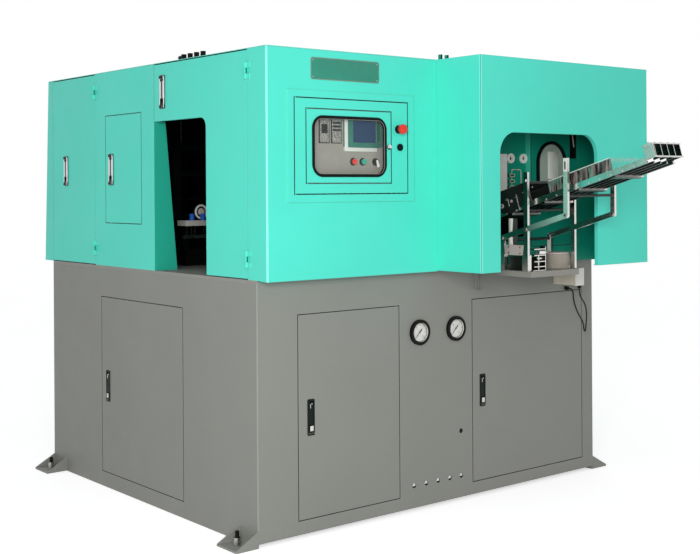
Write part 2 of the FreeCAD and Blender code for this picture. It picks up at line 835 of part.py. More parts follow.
def guard_side_panel():
    """The fixed left panel, with the inspection door's opening and the folded guide sheet."""
    x0, x1 = -rear_seam + seam_gap / 2, -outlet_far
    skin = block(x0, x1, 0, guard_sheet, base_height, guard_top - guard_sheet)
    skin = skin.cut(block(-inspection_far, -inspection_near, 0, guard_sheet,
                          inspection_bottom, inspection_top))
    lip = opening_lip(-inspection_far, -inspection_near, inspection_bottom, inspection_top, 0)
    rear_lip = block(x0, x0 + guard_sheet, 0, guard_flange, base_height, guard_top - guard_sheet)
    guide = prism([(x1, 0, base_height), (x1, guide_sheet_bottom, base_height),
                   (x1, guide_sheet_top, outlet_opening_top), (x1, guard_flange, outlet_opening_top),
                   (x1, guard_flange, guard_top - guard_sheet), (x1, 0, guard_top - guard_sheet)],
                  (-guard_sheet, 0, 0))
    knuckles = [barrel_knuckles(rear_seam, z, True) for z in (upper_barrel_z, lower_barrel_z)]
    return to_left_side(joined([skin, lip, rear_lip, guide] + knuckles))


def guard_right_panel():
    x0 = base_width - guard_sheet
    skin = block(x0, base_width, 0, base_depth, base_height, guard_top - guard_sheet)
    lips = [block(x0 - guard_flange, x0, y, y + guard_sheet, base_height, guard_top - guard_sheet)
            for y in (0, base_depth - guard_sheet)]
    return joined([skin] + lips)


def guard_rear_cover():
    """The sloping back: deeper at its foot than at its top, closed at both ends."""
    y = base_depth
    top = guard_top - guard_sheet

    def wedge(x0, x1, inset):
        low, high = base_height + inset, top - inset
        rise = inset * (rear_cover_bottom - rear_cover_top) / (top - base_height)
        outline = [(x0, y, low), (x0, y + rear_cover_bottom - inset - rise, low),
                   (x0, y + rear_cover_top - inset + rise, high), (x0, y, high)]
        return prism(outline, (x1 - x0, 0, 0))

    shell = wedge(0, base_width, 0).cut(wedge(guard_sheet, base_width - guard_sheet, guard_sheet))
    return shell


def guard_roof():
    """The roof sheet with a row of air fittings near its left edge."""
    z0 = guard_top - guard_sheet
    top = block(0, base_width, guard_front, base_depth + rear_cover_top, z0, guard_top)
    top = top.cut([block(hood_left, base_width, guard_front, 0, z0, guard_top),
                   fold_waste(0, guard_front, 1, z0, guard_top)])
    r = roof_fitting_radius
    rail = block(roof_fitting_x - r, roof_fitting_x + r, roof_fitting_near - r, roof_fitting_far + r,
                 guard_top, guard_top + r)
    pitch = (roof_fitting_far - roof_fitting_near) / (roof_fitting_count - 1)
    fittings = [round_bar(r, roof_fitting_height, (roof_fitting_x, roof_fitting_near + i * pitch, guard_top),
                          (0, 0, 1)) for i in range(roof_fitting_count)]
    elbow_z = guard_top + 0.6 * roof_fitting_height
    elbow = round_bar(r * 0.8, 3.0 * r, (roof_fitting_x, roof_fitting_far, elbow_z), (0, 1, 0))
    return joined([top, rail, elbow] + fittings)


# ---- guard doors ------------------------------------------------------------------------------
def rear_guard_door():
    x0, x1 = -base_depth + guard_sheet, -rear_seam - seam_gap / 2
    z0, z1 = base_height + threshold_gap, guard_top - guard_sheet - threshold_gap
    door = pan(x0, x1, z0, z1, 0, door_depth, door_sheet)
    left = x0 + rear_lock_inset
    door = door.cut(lock_room(left, guard_lock_bottom, lock_width_guard, 0))
    parts = [door, lock_housing(left, guard_lock_bottom, lock_width_guard, 0)]
    parts += [barrel_knuckles(rear_seam, z, False) for z in (upper_barrel_z, lower_barrel_z)]
    return to_left_side(joined(parts))


def rear_lever():
    left = -base_depth + guard_sheet + rear_lock_inset
    return to_left_side(lock_lever(left, guard_lock_bottom, lock_width_guard, 0))


def inspection_door():
    left = -inspection_far + guard_lock_inset
    return to_left_side(flush_door(-inspection_far, -inspection_near, inspection_bottom, inspection_top, 0,
                                   left, guard_lock_bottom, lock_width_guard))


def inspection_lever():
    left = -inspection_far + guard_lock_inset
    return to_left_side(lock_lever(left, guard_lock_bottom, lock_width_guard, 0))


def outlet_outline(x0, x1, z0, z1, ex, ez, radius, y, depth):
    """The outlet door's L shape: full height at its right, cut away below ez left of ex."""
    points = [(x0, ez), (x0, z1), (x1, z1), (x1, z0), (ex, z0)]
    corner = 1 - math.sqrt(0.5)
    edges = [Part.makeLine(V(a[0], y, a[1]), V(b[0], y, b[1])) for a, b in zip(points, points[1:])]
    edges.append(Part.makeLine(V(ex, y, z0), V(ex, y, ez - radius)))
    middle = V(ex - corner * radius, y, ez - corner * radius)
    edges.append(Part.Arc(V(ex, y, ez - radius), middle, V(ex - radius, y, ez)).toShape())
    edges.append(Part.makeLine(V(ex - radius, y, ez), V(x0, y, ez)))
    return Part.Face(Part.Wire(edges)).extrude(V(0, depth, 0))


def outlet_door():
    """An inverted L that leaves the bottle outlet open at its far lower corner."""
    x0, x1 = -outlet_far + seam_gap, -corner_strip - seam_gap / 2
    z0, z1 = base_height + threshold_gap, guard_top - guard_sheet - threshold_gap
    ex, ez = -outlet_opening_near, outlet_opening_top
    s = door_sheet
    outer = outlet_outline(x0, x1, z0, z1, ex, ez, outlet_corner_radius, 0, door_depth)
    inner = outlet_outline(x0 + s, x1 - s, z0 + s, z1 - s, ex + s, ez + s, outlet_corner_radius + s,
                           s, door_depth - s)
    left = x0 + outlet_lock_inset - seam_gap
    door = outer.cut(inner).cut(lock_room(left, outlet_lock_bottom, lock_width_guard, 0))
    parts = [door, lock_housing(left, outlet_lock_bottom, lock_width_guard, 0)]
    parts += [barrel_knuckles(corner_strip, z, False) for z in (upper_barrel_z, lower_barrel_z)]
    return to_left_side(joined(parts))


def outlet_lever():
    left = -outlet_far + outlet_lock_inset
    return to_left_side(lock_lever(left, outlet_lock_bottom, lock_width_guard, 0))


def base_door(x0, x1):
    return flush_door(x0, x1, front_door_bottom, front_door_top, 0,
                      x0 + base_lock_inset, base_lock_bottom, lock_width_base)


def base_lever(x0):
    return lock_lever(x0 + base_lock_inset, base_lock_bottom, lock_width_base, 0)


# ---- control panel ----------------------------------------------------------------------------
def control_panel_door():
    """A shallow pan with the window's opening, its hinge pins and the emergency stop's collar."""
    x0, x1 = panel_left + panel_gap, panel_right - panel_gap
    z0, z1 = panel_bottom + panel_gap, panel_top - panel_gap
    door = pan(x0, x1, z0, z1, panel_face, panel_door_depth, door_sheet)
    rim = block(window_left - lip_sheet, window_right + lip_sheet, panel_face, panel_face + panel_door_depth,
                window_bottom - lip_sheet, window_top + lip_sheet)
    hole = block(window_left, window_right, panel_face, panel_face + panel_door_depth,
                 window_bottom, window_top)
    key = round_bar(plug_stem_radius + fit_gap, door_sheet, (key_lock_x, panel_face, key_lock_z), (0, 1, 0))
    stop = round_bar(estop_stem_radius + fit_gap, door_sheet, (estop_x, panel_face, estop_z), (0, 1, 0))
    door = door.fuse(rim).cut([hole, key, stop] + panel_hinge_holes(panel_left, panel_bottom, panel_top))
    return joined([door, emergency_stop_collar()] + panel_hinge_pins(window_left, window_bottom, window_top))


def instrument_plate():
    """The plate behind the window, its side webs, the screen, the controllers and switch rings."""
    y0 = panel_face + instrument_setback
    x0, x1 = instrument_left, instrument_right
    z0, z1 = panel_bottom + instrument_edge, panel_top - instrument_edge
    plate = block(x0, x1, y0, y0 + instrument_sheet, z0, z1)
    web_front = panel_face + door_sheet
    webs = [block(x, x + instrument_sheet, web_front, y0, z0, z1) for x in (x0, x1 - instrument_sheet)]
    screen = block(screen_left, screen_right, y0 - screen_proud, y0, screen_bottom, screen_top)
    glass = block(screen_left + screen_frame, screen_right - screen_frame, y0 - screen_proud,
                  y0 - screen_proud + screen_recess, screen_bottom + screen_frame, screen_top - screen_frame)
    controllers = [block(controller_left + i * controller_pitch,
                         controller_left + i * controller_pitch + controller_width,
                         y0 - controller_proud, y0, controller_bottom, controller_bottom + controller_height)
                   for i in range(2)]
    rings = [round_bar(button_bezel_radius, button_bezel_proud, (x, y0 - button_bezel_proud, switch_z),
                       (0, 1, 0)) for x in (stop_x, start_x, selector_x)]
    reach = instrument_sheet + button_bezel_proud
    bores = [round_bar(plug_stem_radius + fit_gap, reach, (x, y0 - button_bezel_proud, switch_z), (0, 1, 0))
             for x in (stop_x, start_x, selector_x)]
    return joined([plate] + webs + [screen.cut(glass)] + controllers + rings).cut(bores)


def push_button(x):
    """A cap in front of its ring, with a stem through the instrument plate."""
    y0 = panel_face + instrument_setback - button_bezel_proud
    cap_back = y0 - button_travel - 0.5
    cap = round_bar(button_radius, button_proud, (x, cap_back - button_proud, switch_z), (0, 1, 0))
    stem = round_bar(plug_stem_radius, 18.0, (x, cap_back, switch_z), (0, 1, 0))
    return joined([cap, stem])


def mode_selector():
    """A turning knob with a long pale lever that points down and to the right."""
    y0 = panel_face + instrument_setback - button_bezel_proud - 0.5
    knob = round_bar(selector_radius, selector_proud, (selector_x, y0 - selector_proud, switch_z), (0, 1, 0))
    stem = round_bar(plug_stem_radius, 16.0, (selector_x, y0, switch_z), (0, 1, 0))
    handle = block(-5.0, 5.0, 0, 6.0, -selector_handle_length, selector_radius * 0.6)
    handle.rotate(V(0, 0, 0), V(0, 1, 0), -20)
    handle.translate(V(selector_x, y0 - selector_proud - 4.0, switch_z))
    return joined([knob, stem, handle])


def glass_slab(margin, y0, y1):
    """The window's rounded outline grown by a margin."""
    return soft_slab(glass_left - margin, glass_right + margin, glass_bottom - margin, glass_top + margin,
                     glass_corner_radius + margin, y0, y1)


def window_door():
    """The pan that frames the window, hinged at its left inside the panel door."""
    x0, x1 = window_left + panel_gap, window_right - panel_gap
    z0, z1 = window_bottom + panel_gap, window_top - panel_gap
    door = pan(x0, x1, z0, z1, panel_face, window_door_depth, door_sheet)
    seat = glass_slab(gasket_width / 2, panel_face, panel_face + door_sheet)
    plug = round_bar(plug_stem_radius + fit_gap, door_sheet, (latch_x, panel_face, latch_z), (0, 1, 0))
    return door.cut([seat, plug] + panel_hinge_holes(window_left, window_bottom, window_top))


def window_gasket():
    """A rubber profile: a lip on each side of the door's skin and a groove for the pane."""
    back = panel_face + door_sheet + pane_thickness + gasket_lip
    outer = glass_slab(gasket_width, panel_face - gasket_proud, back)
    sight = glass_slab(0, panel_face - gasket_proud, back)
    skin = glass_slab(gasket_width, panel_face, panel_face + door_sheet)
    web = glass_slab(gasket_width / 2, panel_face, panel_face + door_sheet)
    groove = glass_slab(gasket_width / 3, panel_face + door_sheet, panel_face + door_sheet + pane_thickness)
    return outer.cut([skin.cut(web), sight, groove])


def window_pane():
    return glass_slab(gasket_width / 3, panel_face + door_sheet, panel_face + door_sheet + pane_thickness)


def turning_plug(x, z, radius, cam_depth, cam_reach):
    """A slotted plug in front of a door's skin; its cam behind hangs down, unlocked."""
    head = round_bar(radius, plug_proud, (x, panel_face - plug_proud, z), (0, 1, 0))
    stem = round_bar(plug_stem_radius, cam_depth + cam_thickness, (x, panel_face, z), (0, 1, 0))
    slot = block(x - 1.2, x + 1.2, panel_face - plug_proud, panel_face - plug_proud + 3.0, z - 5.0, z + 5.0)
    cam = block(x - cam_width / 2, x + cam_width / 2, panel_face + cam_depth,
                panel_face + cam_depth + cam_thickness, z - cam_reach, z)
    return joined([head, stem, cam]).cut(slot)


def emergency_stop_collar():
    """The black guard ring that the red head's stem runs in."""
    ring = round_bar(estop_collar_radius, estop_collar_height,
                     (estop_x, panel_face - estop_collar_height, estop_z), (0, 1, 0))
    bore = round_bar(estop_stem_radius + fit_gap, estop_collar_height,
                     (estop_x, panel_face - estop_collar_height, estop_z), (0, 1, 0))
    return ring.cut(bore)


def emergency_stop_head():
    """A red mushroom head: a domed disc on a stem."""
    back = panel_face - estop_stand
    front = back - estop_head_height
    disc = round_bar(estop_head_radius, estop_head_height, (estop_x, front, estop_z), (0, 1, 0))
    edges = [e for e in disc.Edges if e.BoundBox.YMax < front + 0.5]
    dome = disc.makeFillet(estop_rounding, edges)
    stem = round_bar(estop_stem_radius, estop_stand - 1.0, (estop_x, back, estop_z), (0, 1, 0))
    return joined([dome, stem])


# ---- loader hood ------------------------------------------------------------------------------
def arch_slab(margin, y0, y1):
    """The arch's opening grown by a margin, running down past the hood's foot."""
    x0, x1, z1 = arch_left - margin, arch_right + margin, arch_top + margin
    z0 = base_height - arch_radius
    slab = block(x0, x1, y0, y1, z0, z1)
    edges = [e for e in slab.Edges
             if abs(e.Vertexes[0].Y - e.Vertexes[-1].Y) > 1 and e.CenterOfMass.z > arch_top - 1]
    return slab.makeFillet(arch_radius + margin, edges)


def loader_hood():
    """The hood's front with its arch, both sides and its top, with folded returns."""
    s = guard_sheet
    outer = block(hood_left, hood_right, hood_front, guard_front, base_height, guard_top)
    inner = block(hood_left + s, hood_right - s, hood_front + s, guard_front, base_height, guard_top - s)
    shell = outer.cut(inner)
    cheeks = [block(x, x + s, guard_front, 0, base_height, guard_top) for x in (hood_left, hood_right - s)]
    lid = block(hood_left, hood_right, guard_front, 0, guard_top - s, guard_top)
    sill_left = block(hood_left + s, arch_left, hood_front, hood_front + guard_flange,
                      base_height, base_height + s)
    sill_right = block(arch_right, hood_right - s, hood_front, hood_front + guard_flange,
                       base_height, base_height + s)
    rim = arch_slab(s, hood_front, hood_front + arch_return)
    rim = rim.common(block(hood_left, hood_right, hood_front, 0, base_height, guard_top))
    knobs = [round_bar(hood_knob_radius, hood_knob_height,
                       (hood_knob_left + i * hood_knob_pitch, guard_front, guard_top), (0, 0, 1))
             for i in range(2)]
    hood = joined([shell, lid, sill_left, sill_right, rim] + cheeks + knobs)
    folds = [fold_waste(x, hood_front, side, base_height, guard_top)
             for x, side in ((hood_left, 1), (hood_right, -1))]
    return hood.cut([arch_slab(0, hood_front, hood_front + arch_return)] + folds)


def inner_arch(margin, y0, y1):
    """The inner window's outline: straight sides under a half round top."""
    r = inner_window_width / 2 + margin
    spring = inner_window_crown - inner_window_width / 2
    lower = block(inner_window_x - r, inner_window_x + r, y0, y1, inner_window_bottom - margin, spring)
    crown = round_bar(r, y1 - y0, (inner_window_x, y0, spring), (0, 1, 0))
    return lower.fuse(crown).removeSplitter()


def hood_partition():
    """The wall behind the loader: preform inlet and ports at its left, the inner door at its right."""
    s = guard_sheet
    face = -inner_step
    top = guard_top - s
    left = block(hood_left, inner_step_x + s, 0, s, base_height, top)
    step = block(inner_step_x, inner_step_x + s, face, 0, base_height, top)
    right = block(inner_step_x, hood_right - s, face, face + s, base_height, top)
    sill = block(inner_step_x, hood_right - s, face, 0, base_height, base_height + s)
    right = right.cut(block(inner_door_left, inner_door_right, face, face + s,
                            inner_door_bottom, inner_door_top))
    lip = opening_lip(-inner_door_right, -inner_door_left, inner_door_bottom, inner_door_top, face)
    lip = lip.mirror(V(0, 0, 0), V(1, 0, 0))
    inlet = block(inlet_left, inlet_right, 0, s, inlet_bottom, inlet_top)
    rings = []
    bores = []
    for x in (port_left_x, port_right_x):
        rings.append(round_bar(port_radius, port_proud + s, (x, -port_proud, port_z), (0, 1, 0)))
        bores.append(round_bar(port_radius - port_wall, port_proud + s, (x, -port_proud, port_z), (0, 1, 0)))
    fixtures = [block(backing_left, backing_right, -port_proud, 0, inlet_top + 12.0, backing_top)]
    for i in range(guide_rack_pads):
        z = guide_rack_bottom + i * guide_rack_pitch
        fixtures.append(block(guide_rack_left, guide_rack_right, -2 * port_proud, 0,
                              z, z + guide_rack_pitch / 2))
    return joined([left, step, right, sill, lip] + rings + fixtures).cut([inlet] + bores)


def inner_door():
    """The narrow door at the back of the niche, hinged at its left, with an arched window."""
    face = -inner_step
    door = flush_door(-inner_door_right, -inner_door_left, inner_door_bottom, inner_door_top, face,
                      -inner_door_right + inner_lock_right_inset, inner_lock_bottom, lock_width_guard)
    return door.mirror(V(0, 0, 0), V(1, 0, 0)).cut(inner_arch(gasket_width / 2, face, face + door_depth))


def inner_door_lever():
    left = -inner_door_right + inner_lock_right_inset
    lever = lock_lever(left, inner_lock_bottom, lock_width_guard, -inner_step)
    return lever.mirror(V(0, 0, 0), V(1, 0, 0))


def inner_door_glazing():
    """The arched pane with its rubber edge in one piece."""
    face = -inner_step
    rim = inner_arch(gasket_width, face - gasket_proud, face).cut(inner_arch(0, face - gasket_proud, face))
    pane = inner_arch(gasket_width / 2, face, face + pane_thickness)
    return joined([rim, pane])


# ---- loader -----------------------------------------------------------------------------------
def loader_shelf():
    """The plate the loader stands on, with its right front corner rounded."""
    z0 = shelf_top - shelf_thickness
    plate = block(shelf_left, shelf_right, -shelf_reach, 0, z0, shelf_top)
    edges = [e for e in plate.Edges
             if abs(e.Vertexes[0].Z - e.Vertexes[-1].Z) > 1 and e.CenterOfMass.y < -shelf_reach / 2
             and e.CenterOfMass.x > shelf_left + 1]
    return plate.makeFillet(shelf_corner_radius, edges)


def link_height(y):
    return link_low_z + chute_rise * (rear_post_y - y)


def link_bar(x0):
    """An inclined flat bar from the rear post to the hanger, with round ends."""
    half = link_bar_height / 2
    a = (rear_post_y, link_height(rear_post_y))
    b = (link_end_y, link_height(link_end_y))
    length = math.hypot(b[0] - a[0], b[1] - a[1])
    ny, nz = (b[1] - a[1]) / length * half, -(b[0] - a[0]) / length * half
    body = prism([(x0, a[0] + ny, a[1] + nz), (x0, b[0] + ny, b[1] + nz),
                  (x0, b[0] - ny, b[1] - nz), (x0, a[0] - ny, a[1] - nz)], (bar_thickness, 0, 0))
    ends = [round_bar(half, bar_thickness, (x0, y, z), (1, 0, 0)) for y, z in (a, b)]
    return [body] + ends


def chute_under(y):
    """Height of the chute's underside at a given y."""
    drop = (rail_height + cross_bar_height) / chute_cos
    return chute_head_z - chute_plate_height / chute_cos - drop + chute_rise * (chute_head_y - y)


def chute_top(y):
    """Height of the side plates' top edge at a given y."""
    return chute_head_z + chute_rise * (chute_head_y - y)


def side_frame(x0, front_top, hanger_z, shod):
    """Two posts, with shoes where they are shod, a link bar between them and the outer hanger."""
    half = post_width / 2
    x1 = x0 + bar_thickness
    parts = [block(x0, x1, rear_post_y - half, rear_post_y + half, shelf_top, link_low_z),
             block(x0, x1, front_post_y - half, front_post_y + half, shelf_top, front_top),
             block(x0, x1, link_end_y - half, link_end_y + half, link_height(link_end_y), hanger_z)]
    for y in shod:
        parts.append(block(x0 - shoe_extra, x1 + shoe_extra, y - half - shoe_extra, y + half + shoe_extra,
                           shelf_top, shelf_top + shoe_height))
    return joined(parts + link_bar(x0))


def loader_support():
    """Both side frames, the tie rods that join them to the chute, and the guide block."""
    right_x0 = side_frame_right - bar_thickness
    left = side_frame(side_frame_left, left_post_top, hanger_top, (rear_post_y, front_post_y))
    right = side_frame(right_x0, chute_top(front_post_y), chute_top(link_end_y), ())
    ties = []
    for y in (front_post_y, link_end_y):
        z = chute_under(y) - 8.0
        ties.append(round_bar(6.0, side_frame_right - side_frame_left, (side_frame_left, y, z), (1, 0, 0)))
    span = round_bar(6.0, side_frame_right - side_frame_left,
                     (side_frame_left, rear_post_y, link_low_z - 12.0), (1, 0, 0))
    middle = (rear_post_y + front_post_y) / 2
    x0 = side_frame_left + bar_thickness
    guide_top = guide_block_bottom + guide_block_height
    half = guide_block_length / 2
    guide = block(x0, x0 + guide_block_width, middle - half, middle + half, guide_block_bottom, guide_top)
    rail = block(side_frame_left, x0, front_post_y, rear_post_y, guide_block_bottom, guide_top)
    jack = round_bar(cylinder_radius, cylinder_height,
                     (x0 + guide_block_width / 2, middle + 0.3 * guide_block_length, guide_top), (0, 0, 1))
    return joined([left, right, span, guide, rail, jack] + ties)


def chute_box(x0, x1, u0, u1, w0, w1):
    """A block given along the slope: u from the foot outwards, w up from the plates' top edge."""
    return block(x0, x1, -u1, -u0, w0, w1)


def lane_positions():
    pitch = (chute_right - chute_left - chute_plate * 2 - rail_width) / lane_count
    return [chute_left + chute_plate + rail_width / 2 + i * pitch for i in range(lane_count + 1)]


def chute_rails():
    """Side plates, one rail between each two lanes, cross bars and the gate at the foot."""
    plate_low = -chute_plate_height
    low = plate_low - rail_height
    parts = [chute_box(chute_left, chute_left + chute_plate, 0, chute_length, plate_low - 6.0, 0),
             chute_box(chute_right - chute_plate, chute_right, 0, chute_length, plate_low - 6.0, 0)]
    for x in lane_positions():
        parts.append(chute_box(x - rail_width / 2, x + rail_width / 2, 0, chute_length, low, plate_low + 4.0))
    u = cross_bar_pitch / 2
    while u < chute_length - cross_bar_width:
        parts.append(chute_box(chute_left, chute_right, u, u + cross_bar_width, low - cross_bar_height, low))
        u += cross_bar_pitch
    gate = chute_box(chute_left, chute_right, gate_start, gate_start + gate_length, 0, gate_height)
    gate = gate.cut(chute_box(chute_left + gate_plate, chute_right - gate_plate, gate_start,
                              gate_start + gate_length, 0, gate_height - gate_top))
    return on_slope(joined(parts + [gate]))


def chute_head():
    """Tall lane dividers at the chute's mouth under one cross plate with its screws."""
    u1 = chute_length + divider_length
    parts = []
    for x in lane_positions():
        parts.append(chute_box(x - divider_sheet / 2, x + divider_sheet / 2, chute_length, u1,
                               -head_depth, divider_height))
    parts.append(chute_box(chute_left, chute_left + divider_sheet, chute_length, u1,
                           -head_depth, divider_height))
    parts.append(chute_box(chute_left - 6.0, chute_right, chute_length, u1,
                           divider_height, divider_height + head_plate))
    sill = -head_depth
    parts.append(chute_box(chute_left, chute_right, u1 - head_plate, u1, sill, sill + head_plate))
    for x in lane_positions():
        top = divider_height + head_plate
        screw = round_bar(head_screw_radius, head_screw_height, (x, -u1 + divider_length / 2, top), (0, 0, 1))
        parts.append(screw)
    return on_slope(joined(parts))


def chute_cover():
    """A flat roof over the lanes on short posts that stand on the side plates."""
    u0, u1 = cover_near, cover_near + cover_length
    roof = chute_box(chute_left, chute_right, u0, u1, cover_rise, cover_rise + cover_sheet)
    parts = [roof]
    for x in (chute_left, chute_right - chute_plate):
        for i in range(4):
            u = u0 + i * (cover_length - cover_post) / 3
            parts.append(chute_box(x, x + chute_plate, u, u + cover_post, 0, cover_rise))
    lip = chute_box(chute_left, chute_right, u1 - cover_sheet, u1, cover_rise - 14.0, cover_rise)
    return on_slope(joined(parts + [lip]))


def feed_drive():
    """The drive box beside the left frame and the stack of escapement plates in front of it."""
    z0 = shelf_top
    s = escapement_sheet
    box = block(drive_left, drive_right, drive_near, drive_far, z0, z0 + drive_height)
    base = block(drive_left, drive_right, escapement_near, drive_far, z0, z0 + s)
    upright = block(drive_right - s, drive_right, escapement_near, escapement_far, z0, z0 + escapement_height)
    parts = [box, base, upright]
    for level in escapement_levels:
        parts.append(block(drive_left + 8.0, drive_right - s, escapement_near, escapement_far,
                           z0 + level, z0 + level + s))
    centre = ((drive_left + drive_right) / 2 + 8.0, (escapement_near + escapement_far) / 2, z0)
    parts.append(round_bar(s, escapement_levels[-1], centre, (0, 0, 1)))
    ring = round_bar(escapement_sheet * 4, s * 1.5, (centre[0], centre[1], z0 + 50.0), (0, 0, 1))
    ring = ring.cut(round_bar(escapement_sheet * 2.5, s * 1.5, (centre[0], centre[1], z0 + 50.0), (0, 0, 1)))
    web = block(centre[0], drive_right - s, centre[1] - s, centre[1] + s, z0 + 50.0, z0 + 50.0 + s)
    return joined(parts + [ring, web])


def index_housing():
    """The round drive housing of the feed table, bolted down round its flange."""
    z0 = shelf_top
    drum = round_bar(drum_radius, drum_height, (drum_x, drum_y, z0), (0, 0, 1))
    bore = round_bar(table_shaft_radius + fit_gap, table_shaft_length + 2.0,
                     (drum_x, drum_y, z0 + drum_height - table_shaft_length - 2.0), (0, 0, 1))
    groove = round_bar(drum_radius, 4.0, (drum_x, drum_y, z0 + 14.0), (0, 0, 1))
    groove = groove.cut(round_bar(drum_radius - 1.5, 4.0, (drum_x, drum_y, z0 + 14.0), (0, 0, 1)))
    parts = [drum.cut([bore, groove])]
    for i in range(drum_bolt_count):
        angle = math.radians(360.0 * i / drum_bolt_count + 20.0)
        x = drum_x + (drum_radius + drum_flange - 3.0) * math.cos(angle)
        y = drum_y + (drum_radius + drum_flange - 3.0) * math.sin(angle)
        parts.append(round_bar(drum_bolt_radius, 12.0, (x, y, z0), (0, 0, 1)))
    return joined(parts)


def index_table():
    """The disc that carries each preform round, on its shaft in the housing."""
    z0 = shelf_top + drum_height + table_gap
    disc = round_bar(table_radius, table_thickness, (drum_x, drum_y, z0), (0, 0, 1))
    shaft = round_bar(table_shaft_radius, table_shaft_length + table_gap,
                      (drum_x, drum_y, z0 - table_shaft_length - table_gap), (0, 0, 1))
    key = block(drum_x - 4.0, drum_x + 4.0, drum_y - table_radius * 0.8, drum_y - table_radius * 0.4,
                z0 + table_thickness - 3.0, z0 + table_thickness)
    return joined([disc, shaft]).cut(key)


# ---- junction box and cable -------------------------------------------------------------------
def junction_box():
    """A small box on the base's front wall with a lid on its front end."""
    body = block(box_left, box_left + box_width, -box_depth + box_lid, 0, box_bottom, box_bottom + box_height)
    lid = block(box_left - 2.0, box_left + box_width + 2.0, -box_depth, -box_depth + box_lid,
                box_bottom - 2.0, box_bottom + box_height + 2.0)
    return joined([body, lid])


def cable_exit():
    return (box_left + box_width - box_gland_inset, box_gland_y, box_bottom - gland_length)


def cable_glands():
    """Two like glands: one under the junction box, one in the base's front wall."""
    ex, ey, ez = cable_exit()
    under = round_bar(gland_radius, gland_length, (ex, ey, ez), (0, 0, 1))
    in_wall = round_bar(gland_radius, gland_length, (wall_gland_x, -gland_length, wall_gland_z), (0, 1, 0))
    return group([under, in_wall])


def cable_route():
    """The sensor cable's points from the box's gland down and back up to the wall's gland."""
    ex, ey, ez = cable_exit()
    wx, wy, wz = wall_gland_x, -gland_length, wall_gland_z
    return [
        (ex, ey, ez),
        (ex, ey, ez - 15.0),
        (ex + 5.0, ey + 1.0, ez - 31.0),
        (ex + 17.0, ey + 2.0, ez - 48.0),
        (ex + 34.0, ey + 4.0, ez - 63.0),
        (ex + 50.0, ey + 7.0, ez - 82.0),
        (ex + 61.0, ey + 10.0, ez - 107.0),
        (ex + 67.0, ey + 14.0, ez - 136.0),
        (ex + 69.0, ey + 18.0, ez - 161.0),
        (wx + 32.0, wy - 78.0, wz - 171.5),
        (wx + 35.2, wy - 74.0, wz - 187.4),
        (wx + 43.7, wy - 63.5, wz - 197.2),
        (wx + 54.3, wy - 50.5, wz - 197.2),
        (wx + 62.8, wy - 40.0, wz - 187.4),
        (wx + 65.0, wy - 36.5, wz - 172.0),
        (wx + 60.0, wy - 34.5, wz - 156.0),
        (wx + 50.0, wy - 33.5, wz - 139.0),
        (wx + 31.0, wy - 32.0, wz - 115.0),
        (wx + 16.0, wy - 31.0, wz - 87.0),
        (wx + 5.0, wy - 31.0, wz - 61.0),
        (wx + 1.0, wy - 30.7, wz - 41.0),
        (wx + 0.3, wy - 30.5, wz - 28.0),
        (wx, wy - 29.7, wz - 16.7),
        (wx, wy - 23.6, wz - 6.1),
        (wx, wy - 13.0, wz),
        (wx, wy, wz),
    ]


def corner_arcs(points):
    """For each inner point of a route: tangent points, radius and the arc's middle."""
    arcs = []
    for a, b, c in zip(points, points[1:], points[2:]):
        before, after = b - a, c - b
        turn = before.getAngle(after)
        cut_back = 0.45 * min(before.Length, after.Length)
        radius = cut_back / math.tan(turn / 2)
        start = b - before.normalize() * cut_back
        end = b + after.normalize() * cut_back
        inward = (start + end) * 0.5 - b
        depth = radius / math.cos(turn / 2) - radius
        arcs.append((start, b + inward.normalize() * depth, end, radius, turn))
    return arcs


def sensor_cable():
    """The loop as straight runs and tangent arcs, swept with the cable's round section."""
    points = [V(*p) for p in cable_route()]
    arcs = corner_arcs(points)
    edges = []
    at = points[0]
    length = 0.0
    for start, middle, end, radius, turn in arcs:
        edges.append(Part.LineSegment(at, start).toShape())
        edges.append(Part.Arc(start, middle, end).toShape())
        length += (start - at).Length + radius * turn
        at = end
    edges.append(Part.LineSegment(at, points[-1]).toShape())
    length += (points[-1] - at).Length
    path = Part.Wire(edges)
    section = Part.Wire(Part.makeCircle(cable_radius, points[0], points[1] - points[0]))
    tube = path.makePipeShell([section], True, False)
    expected = math.pi * cable_radius ** 2 * length
    print("cable length %.1f mm, radii %s" % (length, " ".join("%.0f" % a[3] for a in arcs)))
    print("cable volume %.0f, section times length %.0f" % (tube.Volume, expected))
    return tube


# ---- blow clamp -------------------------------------------------------------------------------
clamp_right = clamp_left + clamp_width
platen_front = clamp_front + platen_setback
platen_back = platen_front + platen_depth
mould_centre_x = clamp_left + clamp_width / 2
mould_centre_y = (platen_front + platen_back) / 2
beam_top = base_height + clamp_beam_height


def tie_bar_spots():
    ys = (platen_front + tie_bar_inset, platen_back - tie_bar_inset)
    zs = (beam_top + tie_bar_inset + 20.0, platen_top - tie_bar_inset - 60.0)
    return [(y, z) for y in ys for z in zs]


def stretch_spots():
    return [(mould_centre_x, mould_centre_y + s * cavity_pitch / 2) for s in (-1, 1)]


def guide_rod_spots():
    return [(x, mould_centre_y) for x in (clamp_left + guide_rod_inset, clamp_right - guide_rod_inset)]


